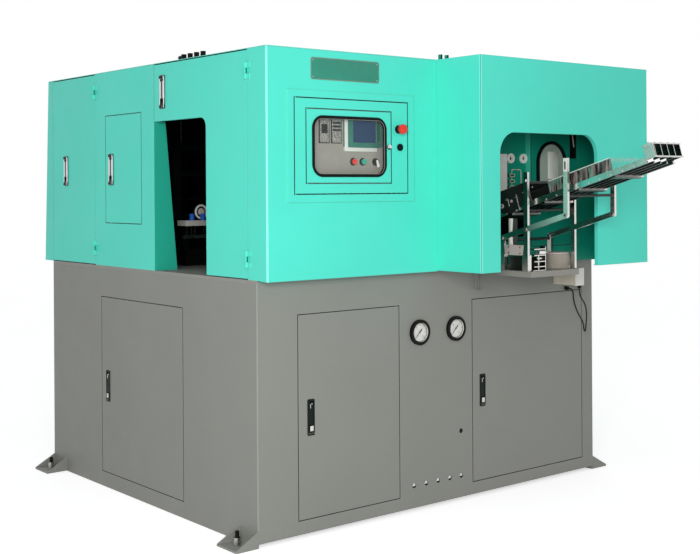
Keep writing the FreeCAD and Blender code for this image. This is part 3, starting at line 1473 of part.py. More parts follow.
def clamp_frame():
    """Bed, end platens, tie bars, crown plate, guide rods and the air manifold in front."""
    bed = block(clamp_left, clamp_right, clamp_front, clamp_front + clamp_beam_depth, base_height, beam_top)
    ends = [block(x, x + platen_thickness, platen_front, platen_back, beam_top, platen_top)
            for x in (clamp_left, clamp_right - platen_thickness)]
    bars = [round_bar(tie_bar_radius, clamp_width, (clamp_left, y, z), (1, 0, 0)) for y, z in tie_bar_spots()]
    crown = block(clamp_left, clamp_right, mould_centre_y - crown_depth / 2, mould_centre_y + crown_depth / 2,
                  platen_top, platen_top + crown_thickness)
    holes = [round_bar(stretch_rod_radius + 2.0, crown_thickness, (x, y, platen_top), (0, 0, 1))
             for x, y in stretch_spots()]
    rods = [round_bar(guide_rod_radius, guide_rod_top - platen_top - crown_thickness,
                      (x, y, platen_top + crown_thickness), (0, 0, 1)) for x, y in guide_rod_spots()]
    barrels = [clamp_barrel(side) for side in (-1, 1)]
    body = joined([bed, crown.cut(holes)] + ends + bars + rods + barrels + air_manifold())
    return body.cut([clamp_bore(side) for side in (-1, 1)])


def clamp_rod_height():
    return beam_top + (platen_top - beam_top) / 2


def clamp_barrel(side):
    """The clamp cylinder outside an end platen."""
    start = clamp_left if side < 0 else clamp_right
    return round_bar(clamp_barrel_radius, clamp_barrel_length, (start, mould_centre_y, clamp_rod_height()),
                     (side, 0, 0))


def clamp_bore(side):
    """The rod's running bore through the platen and the barrel, closed at the outer end."""
    start = clamp_left + platen_thickness if side < 0 else clamp_right - platen_thickness
    length = platen_thickness + clamp_barrel_length - clamp_barrel_end
    return round_bar(clamp_rod_radius + fit_gap, length, (start, mould_centre_y, clamp_rod_height()),
                     (side, 0, 0))


def air_manifold():
    """The aluminium plate with its fittings and regulator, on posts, and the bar below it."""
    x1 = clamp_left + clamp_width * 0.6
    plate = block(clamp_left, x1, clamp_front, clamp_front + manifold_depth, manifold_bottom,
                  manifold_bottom + manifold_thickness)
    bar = block(clamp_left, x1, clamp_front + 4.0, clamp_front + 4.0 + lower_bar_depth, lower_bar_bottom,
                lower_bar_bottom + lower_bar_height)
    posts = [block(x, x + 30.0, clamp_front + 36.0, clamp_front + manifold_depth, beam_top, manifold_bottom)
             for x in (clamp_left + 10.0, x1 - 40.0)]
    parts = [plate, bar] + posts
    x = clamp_left + 40.0
    while x < x1 - 20.0:
        parts.append(round_bar(hanging_rod_radius, manifold_bottom - lower_bar_bottom - lower_bar_height,
                               (x, clamp_front + 16.0, lower_bar_bottom + lower_bar_height), (0, 0, 1)))
        x += hanging_rod_pitch
    top = manifold_bottom + manifold_thickness
    for i in range(4):
        x = clamp_left + fitting_start + i * fitting_pitch
        parts.append(round_bar(fitting_radius, fitting_height, (x, clamp_front + 18.0, top), (0, 0, 1)))
    centre = (regulator_x, clamp_front + regulator_setback, top + regulator_radius - 1.0)
    parts.append(round_bar(regulator_radius, regulator_length, centre, (0, 1, 0)))
    return parts


def mould_half(side):
    """A moving plate on the tie bars with its half mould; side is -1 for left and +1 for right."""
    face = mould_centre_x + side * mould_gap / 2
    back = face + side * mould_width
    plate_back = back + side * mould_plate_thickness
    y0, y1 = mould_centre_y - mould_depth / 2, mould_centre_y + mould_depth / 2
    z0 = beam_top + mould_seat
    z1 = z0 + mould_height
    cavity_height = mould_height - cavity_floor - shoulder_height - neck_depth
    mould = block(min(face, back), max(face, back), y0, y1, z0, z1)
    plate = block(min(back, plate_back), max(back, plate_back), platen_front, platen_back,
                  beam_top + mould_plate_low, platen_top - mould_plate_high)
    bores = [round_bar(tie_bar_radius + fit_gap, mould_plate_thickness, (min(back, plate_back), y, z),
                       (1, 0, 0)) for y, z in tie_bar_spots()]
    cavities = []
    for x, y in stretch_spots():
        cavities.append(round_bar(cavity_radius, cavity_height, (x, y, z0 + cavity_floor), (0, 0, 1)))
        cavities.append(Part.makeCone(cavity_radius, neck_radius, shoulder_height,
                                      V(x, y, z1 - neck_depth - shoulder_height)))
        cavities.append(round_bar(neck_radius, neck_cut, (x, y, z1 - neck_depth), (0, 0, 1)))
    rod_end = clamp_rod_overlap + (clamp_width / 2 - mould_gap / 2 - mould_width - mould_plate_thickness)
    rod = round_bar(clamp_rod_radius, rod_end, (plate_back, mould_centre_y, clamp_rod_height()), (side, 0, 0))
    return mould.cut(cavities).fuse([plate.cut(bores), rod]).removeSplitter()


def stretch_carriage():
    """The crosshead on the guide rods that drives both stretch rods."""
    ends = [x for x, y in guide_rod_spots()]
    half = carriage_depth / 2
    plate = block(min(ends) - carriage_overhang, max(ends) + carriage_overhang, mould_centre_y - half,
                  mould_centre_y + half, carriage_bottom, carriage_bottom + carriage_thickness)
    bores = [round_bar(guide_rod_radius + fit_gap, carriage_thickness, (x, y, carriage_bottom), (0, 0, 1))
             for x, y in guide_rod_spots()]
    rods = [round_bar(stretch_rod_radius, carriage_bottom - stretch_rod_end, (x, y, stretch_rod_end),
                      (0, 0, 1)) for x, y in stretch_spots()]
    return joined([plate.cut(bores)] + rods)


# ---- oven and electrical plate ----------------------------------------------------------------
def oven_unit():
    """A trough between two tall reflectors with infrared lamps along one of them."""
    x1 = oven_left + oven_length
    y1 = oven_front + oven_depth
    floor = block(oven_left, x1, oven_front, y1, base_height, base_height + oven_floor)
    walls = [block(oven_left, x1, y, y + oven_wall, base_height + oven_floor, base_height + oven_height)
             for y in (oven_front, y1 - oven_wall)]
    z = base_height + oven_floor + 60.0
    lamps = [round_bar(lamp_radius, oven_length, (oven_left, y1 - lamp_setback, z + i * lamp_pitch),
                       (1, 0, 0)) for i in range(lamp_count)]
    holders = [block(x, x + 12.0, y1 - lamp_setback - 12.0, y1, base_height + oven_floor,
                     base_height + oven_height - 20.0) for x in (oven_left, x1 - 12.0)]
    return joined([floor] + walls + lamps + holders)


def electrical_plate():
    """The mounting plate on the rear wall's inside with drives, a supply and terminal rows."""
    back = base_depth - base_sheet
    y1 = back - plate_standoff
    y0 = y1 - plate_sheet
    x1, z1 = plate_left + plate_length, plate_bottom + plate_height
    parts = [block(plate_left, x1, y0, y1, plate_bottom, z1)]
    parts += [round_bar(8.0, plate_standoff, (x, y1, z), (0, 1, 0))
              for x in (plate_left + plate_margin, x1 - plate_margin)
              for z in (plate_bottom + plate_margin, z1 - plate_margin)]
    unit_top = z1 - drive_unit_drop
    for i in range(drive_unit_count):
        x = plate_left + device_edge + i * drive_unit_pitch
        parts.append(block(x, x + drive_unit_width, y0 - device_depth, y0,
                           unit_top - drive_unit_height, unit_top))
    x = plate_left + supply_start
    supply_top = z1 - supply_drop
    parts.append(block(x, x + supply_width, y0 - device_depth * 0.8, y0,
                       supply_top - supply_height, supply_top))
    for i in range(terminal_row_count):
        z = plate_bottom + device_edge + i * terminal_row_pitch
        parts.append(block(plate_left + device_edge, x + supply_width, y0 - device_depth * 0.5, y0,
                           z, z + terminal_row_height))
    return joined(parts)


# ---- the whole machine ------------------------------------------------------------------------
def side_base_door():
    return to_left_side(base_door(-side_door_far, -side_door_near))


def side_base_lever():
    return to_left_side(base_lever(-side_door_far))


def build():
    nodes = {
        "base_front_wall": base_front_wall(),
        "base_left_wall": base_left_wall(),
        "base_right_wall": base_right_wall(),
        "base_rear_wall": base_rear_wall(),
        "base_deck": base_deck(),
        "base_frame": base_frame(),
        "levelling_feet": levelling_feet(),
        "front_left_door": base_door(front_left_left, front_left_right),
        "front_left_lever": base_lever(front_left_left),
        "front_right_door": base_door(front_right_left, front_right_right),
        "front_right_lever": base_lever(front_right_left),
        "side_door": side_base_door(),
        "side_door_lever": side_base_lever(),
        "gauge_bodies": gauge_bodies(),
        "gauge_needle_left": gauge_needle(gauge_left_x),
        "gauge_needle_right": gauge_needle(gauge_right_x),
        "guard_front_cover": guard_front_cover(),
        "guard_side_panel": guard_side_panel(),
        "guard_right_panel": guard_right_panel(),
        "guard_rear_cover": guard_rear_cover(),
        "guard_roof": guard_roof(),
        "rear_guard_door": rear_guard_door(),
        "rear_guard_lever": rear_lever(),
        "inspection_door": inspection_door(),
        "inspection_lever": inspection_lever(),
        "outlet_door": outlet_door(),
        "outlet_lever": outlet_lever(),
        "control_panel_door": control_panel_door(),
        "instrument_plate": instrument_plate(),
        "stop_button": push_button(stop_x),
        "start_button": push_button(start_x),
        "mode_selector": mode_selector(),
        "panel_key_lock": turning_plug(key_lock_x, key_lock_z, key_lock_radius,
                                       panel_door_depth + lip_sheet + cam_gap, key_cam_reach),
        "emergency_stop_head": emergency_stop_head(),
        "window_door": window_door(),
        "window_gasket": window_gasket(),
        "window_pane": window_pane(),
        "window_latch": turning_plug(latch_x, latch_z, latch_radius,
                                     panel_door_depth + cam_gap, latch_cam_reach),
        "loader_hood": loader_hood(),
        "hood_partition": hood_partition(),
        "inner_door": inner_door(),
        "inner_door_glazing": inner_door_glazing(),
        "inner_door_lever": inner_door_lever(),
        "loader_shelf": loader_shelf(),
        "loader_support": loader_support(),
        "chute_rails": chute_rails(),
        "chute_head": chute_head(),
        "chute_cover": chute_cover(),
        "feed_drive": feed_drive(),
        "index_housing": index_housing(),
        "index_table": index_table(),
        "junction_box": junction_box(),
        "cable_glands": cable_glands(),
        "sensor_cable": sensor_cable(),
        "clamp_frame": clamp_frame(),
        "mould_half_left": mould_half(-1),
        "mould_half_right": mould_half(1),
        "stretch_carriage": stretch_carriage(),
        "oven_unit": oven_unit(),
        "electrical_plate": electrical_plate(),
    }
    return nodes


nodes = build()
footprint = group([shape for name, shape in nodes.items() if name != "sensor_cable"]).BoundBox
origin_x = (footprint.XMin + footprint.XMax) / 2
origin_y = (footprint.YMin + footprint.YMax) / 2
origin_z = footprint.ZMin
os.makedirs("parts", exist_ok=True)
for name, shape in nodes.items():
    placed = shape.copy()
    placed.translate(V(-origin_x, -origin_y, -origin_z))
    placed.exportStep("parts/" + name + ".step")
print("%d nodes, origin %.2f %.2f %.2f" % (len(nodes), origin_x, origin_y, origin_z))
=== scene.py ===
import math

import bmesh
import bpy
from mathutils import Matrix, Vector


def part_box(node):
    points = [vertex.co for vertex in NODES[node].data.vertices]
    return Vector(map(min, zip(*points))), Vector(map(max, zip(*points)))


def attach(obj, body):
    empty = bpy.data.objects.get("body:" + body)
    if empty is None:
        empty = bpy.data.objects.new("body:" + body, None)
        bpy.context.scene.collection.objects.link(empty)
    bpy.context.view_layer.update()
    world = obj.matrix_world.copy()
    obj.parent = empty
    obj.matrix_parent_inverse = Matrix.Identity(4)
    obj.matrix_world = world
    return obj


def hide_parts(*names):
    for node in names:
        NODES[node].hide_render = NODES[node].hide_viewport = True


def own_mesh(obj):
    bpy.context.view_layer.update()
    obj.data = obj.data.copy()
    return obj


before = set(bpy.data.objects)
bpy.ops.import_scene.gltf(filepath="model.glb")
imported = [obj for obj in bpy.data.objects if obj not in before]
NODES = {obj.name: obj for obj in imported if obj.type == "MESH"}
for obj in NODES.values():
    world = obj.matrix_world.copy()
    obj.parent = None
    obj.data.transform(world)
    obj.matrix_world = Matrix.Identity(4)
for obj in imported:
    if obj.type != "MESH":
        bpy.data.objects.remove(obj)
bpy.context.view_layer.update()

MM = 0.001
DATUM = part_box("base_deck")[0]

# Doors with a flush lock, each with its lever's node.
BASE_DOORS = (("front_left_door", "front_left_lever"), ("front_right_door", "front_right_lever"),
              ("side_door", "side_door_lever"))
GUARD_DOORS = (("rear_guard_door", "rear_guard_lever"), ("inspection_door", "inspection_lever"),
               ("outlet_door", "outlet_lever"))

# Places and sizes of the solids that more than one section needs, in machine mm.
LOCK_BELOW_LEVER = 40.0
LOCK_HEIGHT = 140.0
LOCK_MARGIN = 7.0
GAUGE_X = {"left": 816.0, "right": 1025.0}
GAUGE_Z = 742.0
GAUGE_DIAL_Y = -6.0
CHUTE_LEFT = 1220.0
FRAME_LEFT = 1190.0
FRAME_RIGHT = 1490.0


def at(x, y, z):
    """A point of the machine's own frame (mm from the base's front left corner) in metres."""
    return Vector((DATUM.x + x * MM, DATUM.y + y * MM, z * MM))


def local(p):
    """The machine frame's mm for a point in metres."""
    return Vector(((p.x - DATUM.x) / MM, (p.y - DATUM.y) / MM, p.z / MM))


# ---- materials --------------------------------------------------------------------------------
def srgb(r, g, b):
    """A linear colour from the 0 to 255 values of a screen colour."""
    def lin(c):
        c /= 255.0
        return c / 12.92 if c <= 0.04045 else ((c + 0.055) / 1.055) ** 2.4
    return (lin(r), lin(g), lin(b), 1.0)


def scaled(colour, k):
    return tuple(min(1.0, c * k) for c in colour[:3]) + (1.0,)


class Finish:
    """A node material built round one Principled shader."""

    def __init__(self, name, rough=0.5, metal=0.0, **sockets):
        self.mat = bpy.data.materials.new(name)
        self.mat.use_nodes = True
        self.nodes = self.mat.node_tree.nodes
        self.links = self.mat.node_tree.links
        self.shader = self.nodes["Principled BSDF"]
        self.set(Roughness=rough, Metallic=metal)
        for key, value in sockets.items():
            self.shader.inputs[key.replace("_", " ")].default_value = value
        self.coords = self.nodes.new("ShaderNodeTexCoord").outputs["Object"]

    def set(self, **sockets):
        for key, value in sockets.items():
            self.shader.inputs[key].default_value = value

    def node(self, kind, settings=None, **inputs):
        """A new node, its inputs set or linked by name, or by number as in i0 and i1."""
        made = self.nodes.new(kind)
        for key, value in (settings or {}).items():
            setattr(made, key, value)
        for key, value in inputs.items():
            socket = made.inputs[int(key[1:])] if key[0] == "i" and key[1:].isdigit() else \
                made.inputs[key.replace("_", " ")]
            if isinstance(value, bpy.types.NodeSocket):
                self.links.new(value, socket)
            else:
                socket.default_value = value
        return made

    def stretch(self, x, y, z):
        return self.node("ShaderNodeMapping", Vector=self.coords, Scale=(x, y, z)).outputs[0]

    def noise(self, scale, detail=2.0, coords=None, distortion=0.0):
        return self.node("ShaderNodeTexNoise", Vector=coords or self.coords, Scale=scale,
                         Detail=detail, Distortion=distortion).outputs[0]

    def span(self, value, low, high, to_low, to_high):
        return self.node("ShaderNodeMapRange", {"clamp": True}, Value=value, From_Min=low,
                         From_Max=high, To_Min=to_low, To_Max=to_high).outputs[0]

    def mix(self, factor, a, b, blend="MIX"):
        made = self.node("ShaderNodeMix", {"data_type": "RGBA", "blend_type": blend})
        for index, value in ((0, factor), (6, a), (7, b)):
            if isinstance(value, bpy.types.NodeSocket):
                self.links.new(value, made.inputs[index])
            else:
                made.inputs[index].default_value = value
        return made.outputs[2]

    def bevel(self, radius):
        return self.node("ShaderNodeBevel", {"samples": 4}, Radius=radius).outputs[0]

    def bump(self, height, distance, normal=None, strength=1.0):
        made = self.node("ShaderNodeBump", Height=height, Distance=distance, Strength=strength)
        if normal is not None:
            self.links.new(normal, made.inputs["Normal"])
        return made.outputs[0]

    def edges(self, normal):
        """0 on flat faces, rising to 1 where the rounded normal leaves the face's own."""
        geometry = self.node("ShaderNodeNewGeometry")
        dot = self.node("ShaderNodeVectorMath", {"operation": "DOT_PRODUCT"}, i0=normal,
                        i1=geometry.outputs["True Normal"]).outputs["Value"]
        return self.span(dot, 0.98, 0.75, 0.0, 1.0)

    def finish(self, colour=None, rough=None, normal=None):
        for key, value in (("Base Color", colour), ("Roughness", rough), ("Normal", normal)):
            if isinstance(value, bpy.types.NodeSocket):
                self.links.new(value, self.shader.inputs[key])
            elif value is not None:
                self.shader.inputs[key].default_value = value
        return self.mat


def enamel(name, colour, rough=0.42, edge_highlight=0.2, peel=420.0, radius=0.003, patch=0.03, speckle=0.0):
    """Sprayed or powder-coated sheet: orange peel, slow tone changes, and rounded edges painted towards white
    as a highlight.
    """
    f = Finish(name, rough=rough, Specular_IOR_Level=0.3)
    slow = f.noise(2.2, 3.0)
    tone = f.mix(f.span(slow, 0.3, 0.7, 0.0, 1.0), scaled(colour, 1 - patch), scaled(colour, 1 + patch))
    if speckle:
        grain = f.noise(520.0, 3.0)
        dark = f.mix(1.0, tone, (1 - speckle,) * 3 + (1,), "MULTIPLY")
        tone = f.mix(f.span(grain, 0.35, 0.65, 0.0, 1.0), tone, dark)
    soft = f.bevel(radius)
    edge = f.edges(soft)
    # Painted highlight: the rounded edges are mixed towards white by edge_highlight.
    tone = f.mix(edge, tone, f.mix(edge_highlight, tone, (1, 1, 1, 1)))
    smear = f.span(f.noise(9.0, 4.0), 0.3, 0.7, rough - 0.05, rough + 0.07)
    return f.finish(tone, smear, f.bump(f.noise(peel, 2.0), 0.0004, soft, 0.22))


def metal(name, colour, rough, grain=(6.0, 6.0, 900.0), radius=0.0008, depth=0.25, vary=0.12):
    """Machined or drawn metal: fine lines along one direction, smudges and bright edges."""
    f = Finish(name, metal=1.0)
    lines = f.noise(1.0, 3.0, f.stretch(*grain))
    smudge = f.noise(35.0, 4.0)
    tone = f.mix(f.span(lines, 0.3, 0.7, 0.0, 1.0), scaled(colour, 1 - vary), scaled(colour, 1 + vary))
    tone = f.mix(f.span(smudge, 0.45, 0.75, 0.0, 0.2), tone, scaled(colour, 0.8))
    rough_value = f.span(smudge, 0.3, 0.7, rough * 0.85, rough * 1.2)
    return f.finish(tone, rough_value, f.bump(lines, 0.0002, f.bevel(radius), depth))


def polymer(name, colour, rough, scale=900.0, depth=0.2, radius=0.0006, vary=0.12, **sockets):
    """Moulded plastic or rubber: spark-eroded texture, a little dust and softened edges."""
    f = Finish(name, rough=rough, **sockets)
    fine = f.noise(scale, 2.0)
    dust = f.noise(28.0, 4.0)
    tone = f.mix(f.span(dust, 0.45, 0.8, 0.0, 1.0), colour, scaled(colour, 1 + vary * 2))
    dark = f.mix(1.0, tone, (1 - vary,) * 3 + (1,), "MULTIPLY")
    tone = f.mix(f.span(fine, 0.35, 0.65, 0.0, 1.0), tone, dark)
    return f.finish(tone, f.span(dust, 0.3, 0.7, rough * 0.85, rough * 1.15),
                    f.bump(fine, 0.0002, f.bevel(radius), depth))


def clear(name, tint, alpha, rough=0.03, **sockets):
    """A see-through sheet: part of the light goes straight through, the rest reflects."""
    f = Finish(name, rough=rough, Alpha=alpha, IOR=1.45, **sockets)
    smear = f.noise(14.0, 3.0)
    tone = f.mix(f.span(smear, 0.4, 0.7, 0.0, 1.0), tint, scaled(tint, 0.94))
    return f.finish(tone, f.span(smear, 0.3, 0.8, rough, rough * 2.5))


GREEN = enamel("green_enamel", srgb(86, 233, 211), rough=0.36, edge_highlight=0.16, radius=0.004)
# A paler green for the rounded corner folds of the guard and hood: a painted highlight where the bends catch
# the light.
GREEN_FOLD_HIGHLIGHT = enamel("green_enamel_fold_highlight", srgb(150, 250, 238), rough=0.3, edge_highlight=0.3)
# A darker green for the niche's inner faces, the partition and the inner door: painted shade on the same
# paint as GREEN.
GREEN_SHADED = enamel("green_enamel_painted_shade", srgb(16, 142, 118), rough=0.4, edge_highlight=0.12)
# A mid green for the partition's step face: painted light, a lighter copy of the shaded partition green.
GREEN_STEP_LIT = enamel("green_enamel_step_lit", srgb(58, 190, 162), rough=0.38, edge_highlight=0.3)
# A dark green for the edges round doors and openings: painted shade in the gaps.
GREEN_SEAM_SHADE = enamel("green_enamel_seam_shade", srgb(4, 84, 68), rough=0.55, edge_highlight=0.05, peel=300.0,
                    radius=0.001)
GREY = enamel("grey_enamel", srgb(146, 147, 141), rough=0.48, edge_highlight=0.16, peel=520.0, radius=0.005,
              patch=0.025, speckle=0.08)
# A dark grey for the edges round the base's doors and doorways: painted shade in the gaps.
GREY_SEAM_SHADE = enamel("grey_enamel_seam_shade", srgb(44, 45, 42), rough=0.6, edge_highlight=0.05, peel=300.0, radius=0.001)
SHELF_GREY = enamel("shelf_grey", srgb(150, 149, 142), rough=0.45, edge_highlight=0.3, radius=0.002)
# Near black for the guard's inner faces and undersides: painted shade for the dark inside of the guard.
INTERIOR_SHADE = enamel("interior_painted_shade", srgb(20, 22, 22), rough=0.62, edge_highlight=0.1, peel=500.0, radius=0.002)
MANIFOLD = enamel("manifold_anodised", srgb(186, 184, 178), edge_highlight=0.3, peel=700.0, radius=0.0015,
                  speckle=0.06)
# A darker green for the guide sheet's front face: painted shade on the side panel's own fold in the same
# paint.
GREEN_GUIDE_SHADED = enamel("green_enamel_guide_shade", srgb(44, 182, 156), rough=0.4)
# A slightly lighter grey than the base's for the deck: painted light against the shade inside the guard.
DECK_GREY_LIT = enamel("deck_grey_lit", srgb(152, 152, 146), rough=0.5, peel=520.0, speckle=0.08)
# A paler grey for the base's left front corner: a painted highlight on the corner.
GREY_CORNER_HIGHLIGHT = enamel("grey_enamel_corner_highlight", srgb(176, 178, 171), rough=0.45, peel=520.0, radius=0.002)
# A pale paint for pale parts such as the screen's surround, also used as painted sheen on polished steel and
# chrome inside the guard.
PALE_AND_SHEEN = enamel("pale_plate_and_sheen", srgb(226, 228, 220), peel=600.0, radius=0.0015, speckle=0.05)
GUIDE_GREY = enamel("guide_block_grey", srgb(196, 186, 180), edge_highlight=0.3, peel=600.0, radius=0.0015,
                    speckle=0.08)
# A near-black green for the gate at the chute's foot: painted shade, with glints painted along its edges by
# its high edge_highlight.
GATE_SHADE = enamel("gate_painted_shade", srgb(30, 36, 33), rough=0.35, edge_highlight=0.5, radius=0.0015, patch=0.5)
BRIGHT = metal("bright_steel", srgb(226, 222, 218), 0.32, vary=0.06)
POLISHED = metal("polished_bar", srgb(224, 222, 218), 0.22, grain=(6.0, 500.0, 6.0), depth=0.1, vary=0.05)
STAINLESS = metal("stainless_plate", srgb(214, 214, 210), 0.26, grain=(900.0, 6.0, 6.0), vary=0.06)
ALLOY = metal("alloy", srgb(200, 198, 194), 0.38, grain=(6.0, 500.0, 6.0), vary=0.06)
# Dark steel for the rails' sides and undersides: painted shade, while the lit faces take the bright steel.
RAIL_SHADED = metal("rail_shaded", srgb(52, 60, 56), 0.4, grain=(6.0, 500.0, 6.0), vary=0.25)
DRUM = enamel("drum_housing", srgb(166, 158, 146), rough=0.45, edge_highlight=0.45, peel=500.0, radius=0.002,
              patch=0.06, speckle=0.06)
CHROME = metal("chrome", srgb(232, 233, 233), 0.1, depth=0.03, vary=0.03)
ZINC = metal("zinc", srgb(176, 176, 172), 0.4, grain=(60.0, 60.0, 60.0), vary=0.06)
DARK_STEEL = metal("dark_steel", srgb(66, 70, 68), 0.46, vary=0.1)
RUBBER = polymer("black_rubber", srgb(9, 12, 11), 0.6, Specular_IOR_Level=0.15)
BLACK = polymer("black_plastic", srgb(8, 9, 9), 0.5, Specular_IOR_Level=0.15)
LOCK_BLACK = polymer("lock_body", srgb(10, 22, 16), 0.5, Specular_IOR_Level=0.18)
LEVER_BROWN = polymer("lever_brown", srgb(24, 18, 16), 0.45, Specular_IOR_Level=0.2)
CREAM = polymer("cream_plastic", srgb(226, 218, 200), 0.5, vary=0.05)
WHITE = polymer("white_plastic", srgb(240, 238, 232), 0.42, vary=0.03)
RED = polymer("red_plastic", srgb(240, 48, 32), 0.28, depth=0.05)
GREEN_CAP = polymer("green_plastic", srgb(18, 176, 142), 0.3, depth=0.05)
BLUE = polymer("blue_fitting", srgb(40, 104, 200), 0.35)
PANEL_GREY = polymer("instrument_grey", srgb(158, 153, 144), 0.5, scale=1500.0, vary=0.05,
                     Specular_IOR_Level=0.2)
SCREEN = polymer("screen_glass", srgb(20, 54, 92), 0.3, depth=0.0, vary=0.1, Specular_IOR_Level=0.1)
SCREEN_RIM = polymer("screen_rim", srgb(46, 118, 102), 0.4, Specular_IOR_Level=0.15)
PLATE_TEAL = polymer("plate_teal", srgb(44, 138, 116), 0.42, depth=0.1, vary=0.06)
PLATE_RIM = polymer("plate_rim", srgb(116, 138, 124), 0.42, depth=0.1)
JACKET = polymer("cable_jacket", srgb(20, 21, 21), 0.5, Specular_IOR_Level=0.3)
DIAL = polymer("dial_white", srgb(236, 233, 230), 0.5, depth=0.02, vary=0.02)
DIAL_MARK = polymer("dial_mark", srgb(70, 66, 66), 0.5, depth=0.02)
GLASS = clear("clear_glass", srgb(225, 240, 236), 0.03, rough=0.02, Specular_IOR_Level=0.1)
FROST = clear("smoked_acrylic", srgb(186, 204, 190), 0.75, rough=0.12, Specular_IOR_Level=0.4)
CLEAR = clear("clear_cover", srgb(205, 222, 214), 0.16, rough=0.04, Specular_IOR_Level=0.25)


def streaked(name):
    """A clear sheet with brown and pale pink streaks running down it and patches of teal."""
    f = Finish(name, rough=0.3, Alpha=0.86, Specular_IOR_Level=0.2)
    down = f.noise(1.0, 4.0, f.stretch(20.0, 75.0, 9.0))
    tone = f.mix(f.span(down, 0.42, 0.72, 0.0, 1.0), srgb(34, 27, 26), srgb(176, 158, 154))
    teal = f.noise(1.0, 2.0, f.stretch(9.0, 26.0, 16.0))
    return f.finish(f.mix(f.span(teal, 0.5, 0.62, 0.0, 0.6), tone, srgb(96, 150, 132)))


def speckled(name, low, high):
    """A keypad's face: fine pale and dark specks too small to read."""
    f = Finish(name, rough=0.5, Specular_IOR_Level=0.2)
    grain = f.noise(300.0, 3.0, distortion=0.6)
    return f.finish(f.mix(f.span(grain, 0.42, 0.6, 0.0, 1.0), low, high))


def painted_reflection_bar(name, near, far, y0, y1):
    """A brushed bar with a painted reflection and shade: its tone turns from one to another along y, between
    two places in machine mm.
    """
    f = Finish(name, metal=0.35, Specular_IOR_Level=0.4)
    along = f.node("ShaderNodeSeparateXYZ", Vector=f.coords).outputs["Y"]
    tone = f.mix(f.span(along, at(0, y0, 0).y, at(0, y1, 0).y, 0.0, 1.0), near, far)
    lines = f.noise(1.0, 3.0, f.stretch(6.0, 40.0, 900.0))
    tone = f.mix(f.span(lines, 0.3, 0.7, 0.0, 0.35), tone, scaled(far, 0.8))
    return f.finish(tone, 0.34, f.bump(lines, 0.0002, f.bevel(0.0008), 0.2))


STREAKED = streaked("cover_side")
# A painted reflection of the green hood on the brushed bars, darkening inside the niche as painted shade.
TEAL_REFLECTION_BAR = painted_reflection_bar("brushed_bar_painted_reflection", srgb(176, 226, 208), srgb(34, 84, 70), -430.0, -190.0)
KEYPAD = speckled("keypad_pale", srgb(88, 84, 80), srgb(190, 186, 180))


# ---- finishes of the carried-over solids -----------------------------------------------------------
def within(x0, x1, y0, y1, z0, z1):
    """A test for faces whose middle is in a box, in machine mm."""
    return lambda c, n: x0 < c.x < x1 and y0 < c.y < y1 and z0 < c.z < z1


def paint(node, base, *rules):
    """Gives a node its finishes: each rule is a finish and a test of a face's middle and normal."""
    mesh = NODES[node].data
    mesh.materials.clear()
    for material in [base] + [rule[0] for rule in rules]:
        mesh.materials.append(material)
    for face in mesh.polygons:
        centre = local(face.center)
        face.material_index = 0
        for index, rule in enumerate(rules, 1):
            if rule[1](centre, face.normal):
                face.material_index = index


def lock_zone(lever):
    """The box that a flush lock takes, from its lever's own box."""
    low, high = (local(p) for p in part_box(lever))
    side, ahead, behind = LOCK_MARGIN + 0.6, 8.0, 24.0
    bottom = low.z - LOCK_BELOW_LEVER - 1
    top = bottom + LOCK_HEIGHT + 2
    if high.x - low.x > high.y - low.y:
        return low.x - side, high.x + side, low.y - ahead, low.y + behind, bottom, top
    return low.x - ahead, low.x + behind, low.y - side, high.y + side, bottom, top


CHUTE_FOOT_Y = -30.0
CHUTE_HEAD_Y = -845.0
CHUTE_HEAD_Z = 1455.0
CHUTE_RISE = 0.285
CHUTE_ANGLE = math.atan(CHUTE_RISE)
CHUTE_FOOT_Z = CHUTE_HEAD_Z - CHUTE_RISE * (CHUTE_FOOT_Y - CHUTE_HEAD_Y)


def on_chute(u, w):
    """Machine y and z of a point u up the chute from its foot and w above its side plates."""
    along, up = math.cos(CHUTE_ANGLE), math.sin(CHUTE_ANGLE)
    return CHUTE_FOOT_Y - u * along + w * up, CHUTE_FOOT_Z + u * up + w * along


def above_chute(c):
    """How far a point is above the edge of the chute's side plates."""
    return (c.y - CHUTE_FOOT_Y) * math.sin(CHUTE_ANGLE) + (c.z - CHUTE_FOOT_Z) * math.cos(CHUTE_ANGLE)


def front_faces(zone, axis):
    """The plate of a lock: what of its zone stands before the door's face."""
    x0, x1, y0, y1, z0, z1 = zone
    depth = 10.5
    if axis == "y":
        return within(x0, x1, y0, y0 + depth, z0, z1)
    return within(x0, x0 + depth, y0, y1, z0, z1)


def gap_shade_edges(node, deep=27.0):
    """A test for a flush door's outer edges, which are painted dark as the shade in the gap round it."""
    low, high = (local(p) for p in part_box(node))

    def test(c, n):
        for axis in range(3):
            near = abs(c[axis] - low[axis]) < 1.2 or abs(c[axis] - high[axis]) < 1.2
            if near and abs(n[axis]) > 0.9 and high[axis] - low[axis] > deep + 8:
                return True
        return False
    return test


def painted_door(node, lever, finish, gap_shade, plate, handle):
    """A door's enamel with its edges painted dark as the shade in the gap round it, and the lock's plate, cup
    and dark ends.
    """
    zone = lock_zone(lever)
    axis = "y" if zone[1] - zone[0] > zone[3] - zone[2] else "x"
    flat = (lambda n: n.y < -0.9) if axis == "y" else (lambda n: n.x < -0.9)
    room, skin = within(*zone), front_faces(zone, axis)
    bottom = zone[4] + 1
    paint(node, finish, (gap_shade, gap_shade_edges(node)), (LOCK_BLACK, room),
          (plate, lambda c, n: room(c, n) and skin(c, n) and flat(n) and bottom + 34 < c.z < bottom + 133))
    paint(lever, handle)


def open_edges(across, low, high, z0, z1, lip=27.0):
    """A test for the cut edges and folded lips of the openings in a wall square to an axis."""
    along = 1 - across
    return lambda c, n: (abs(n[across]) < 0.5 and 0.2 < c[across] < lip and low < c[along] < high
                         and z0 < c.z < z1)


X_AXIS, Y_AXIS = 0, 1
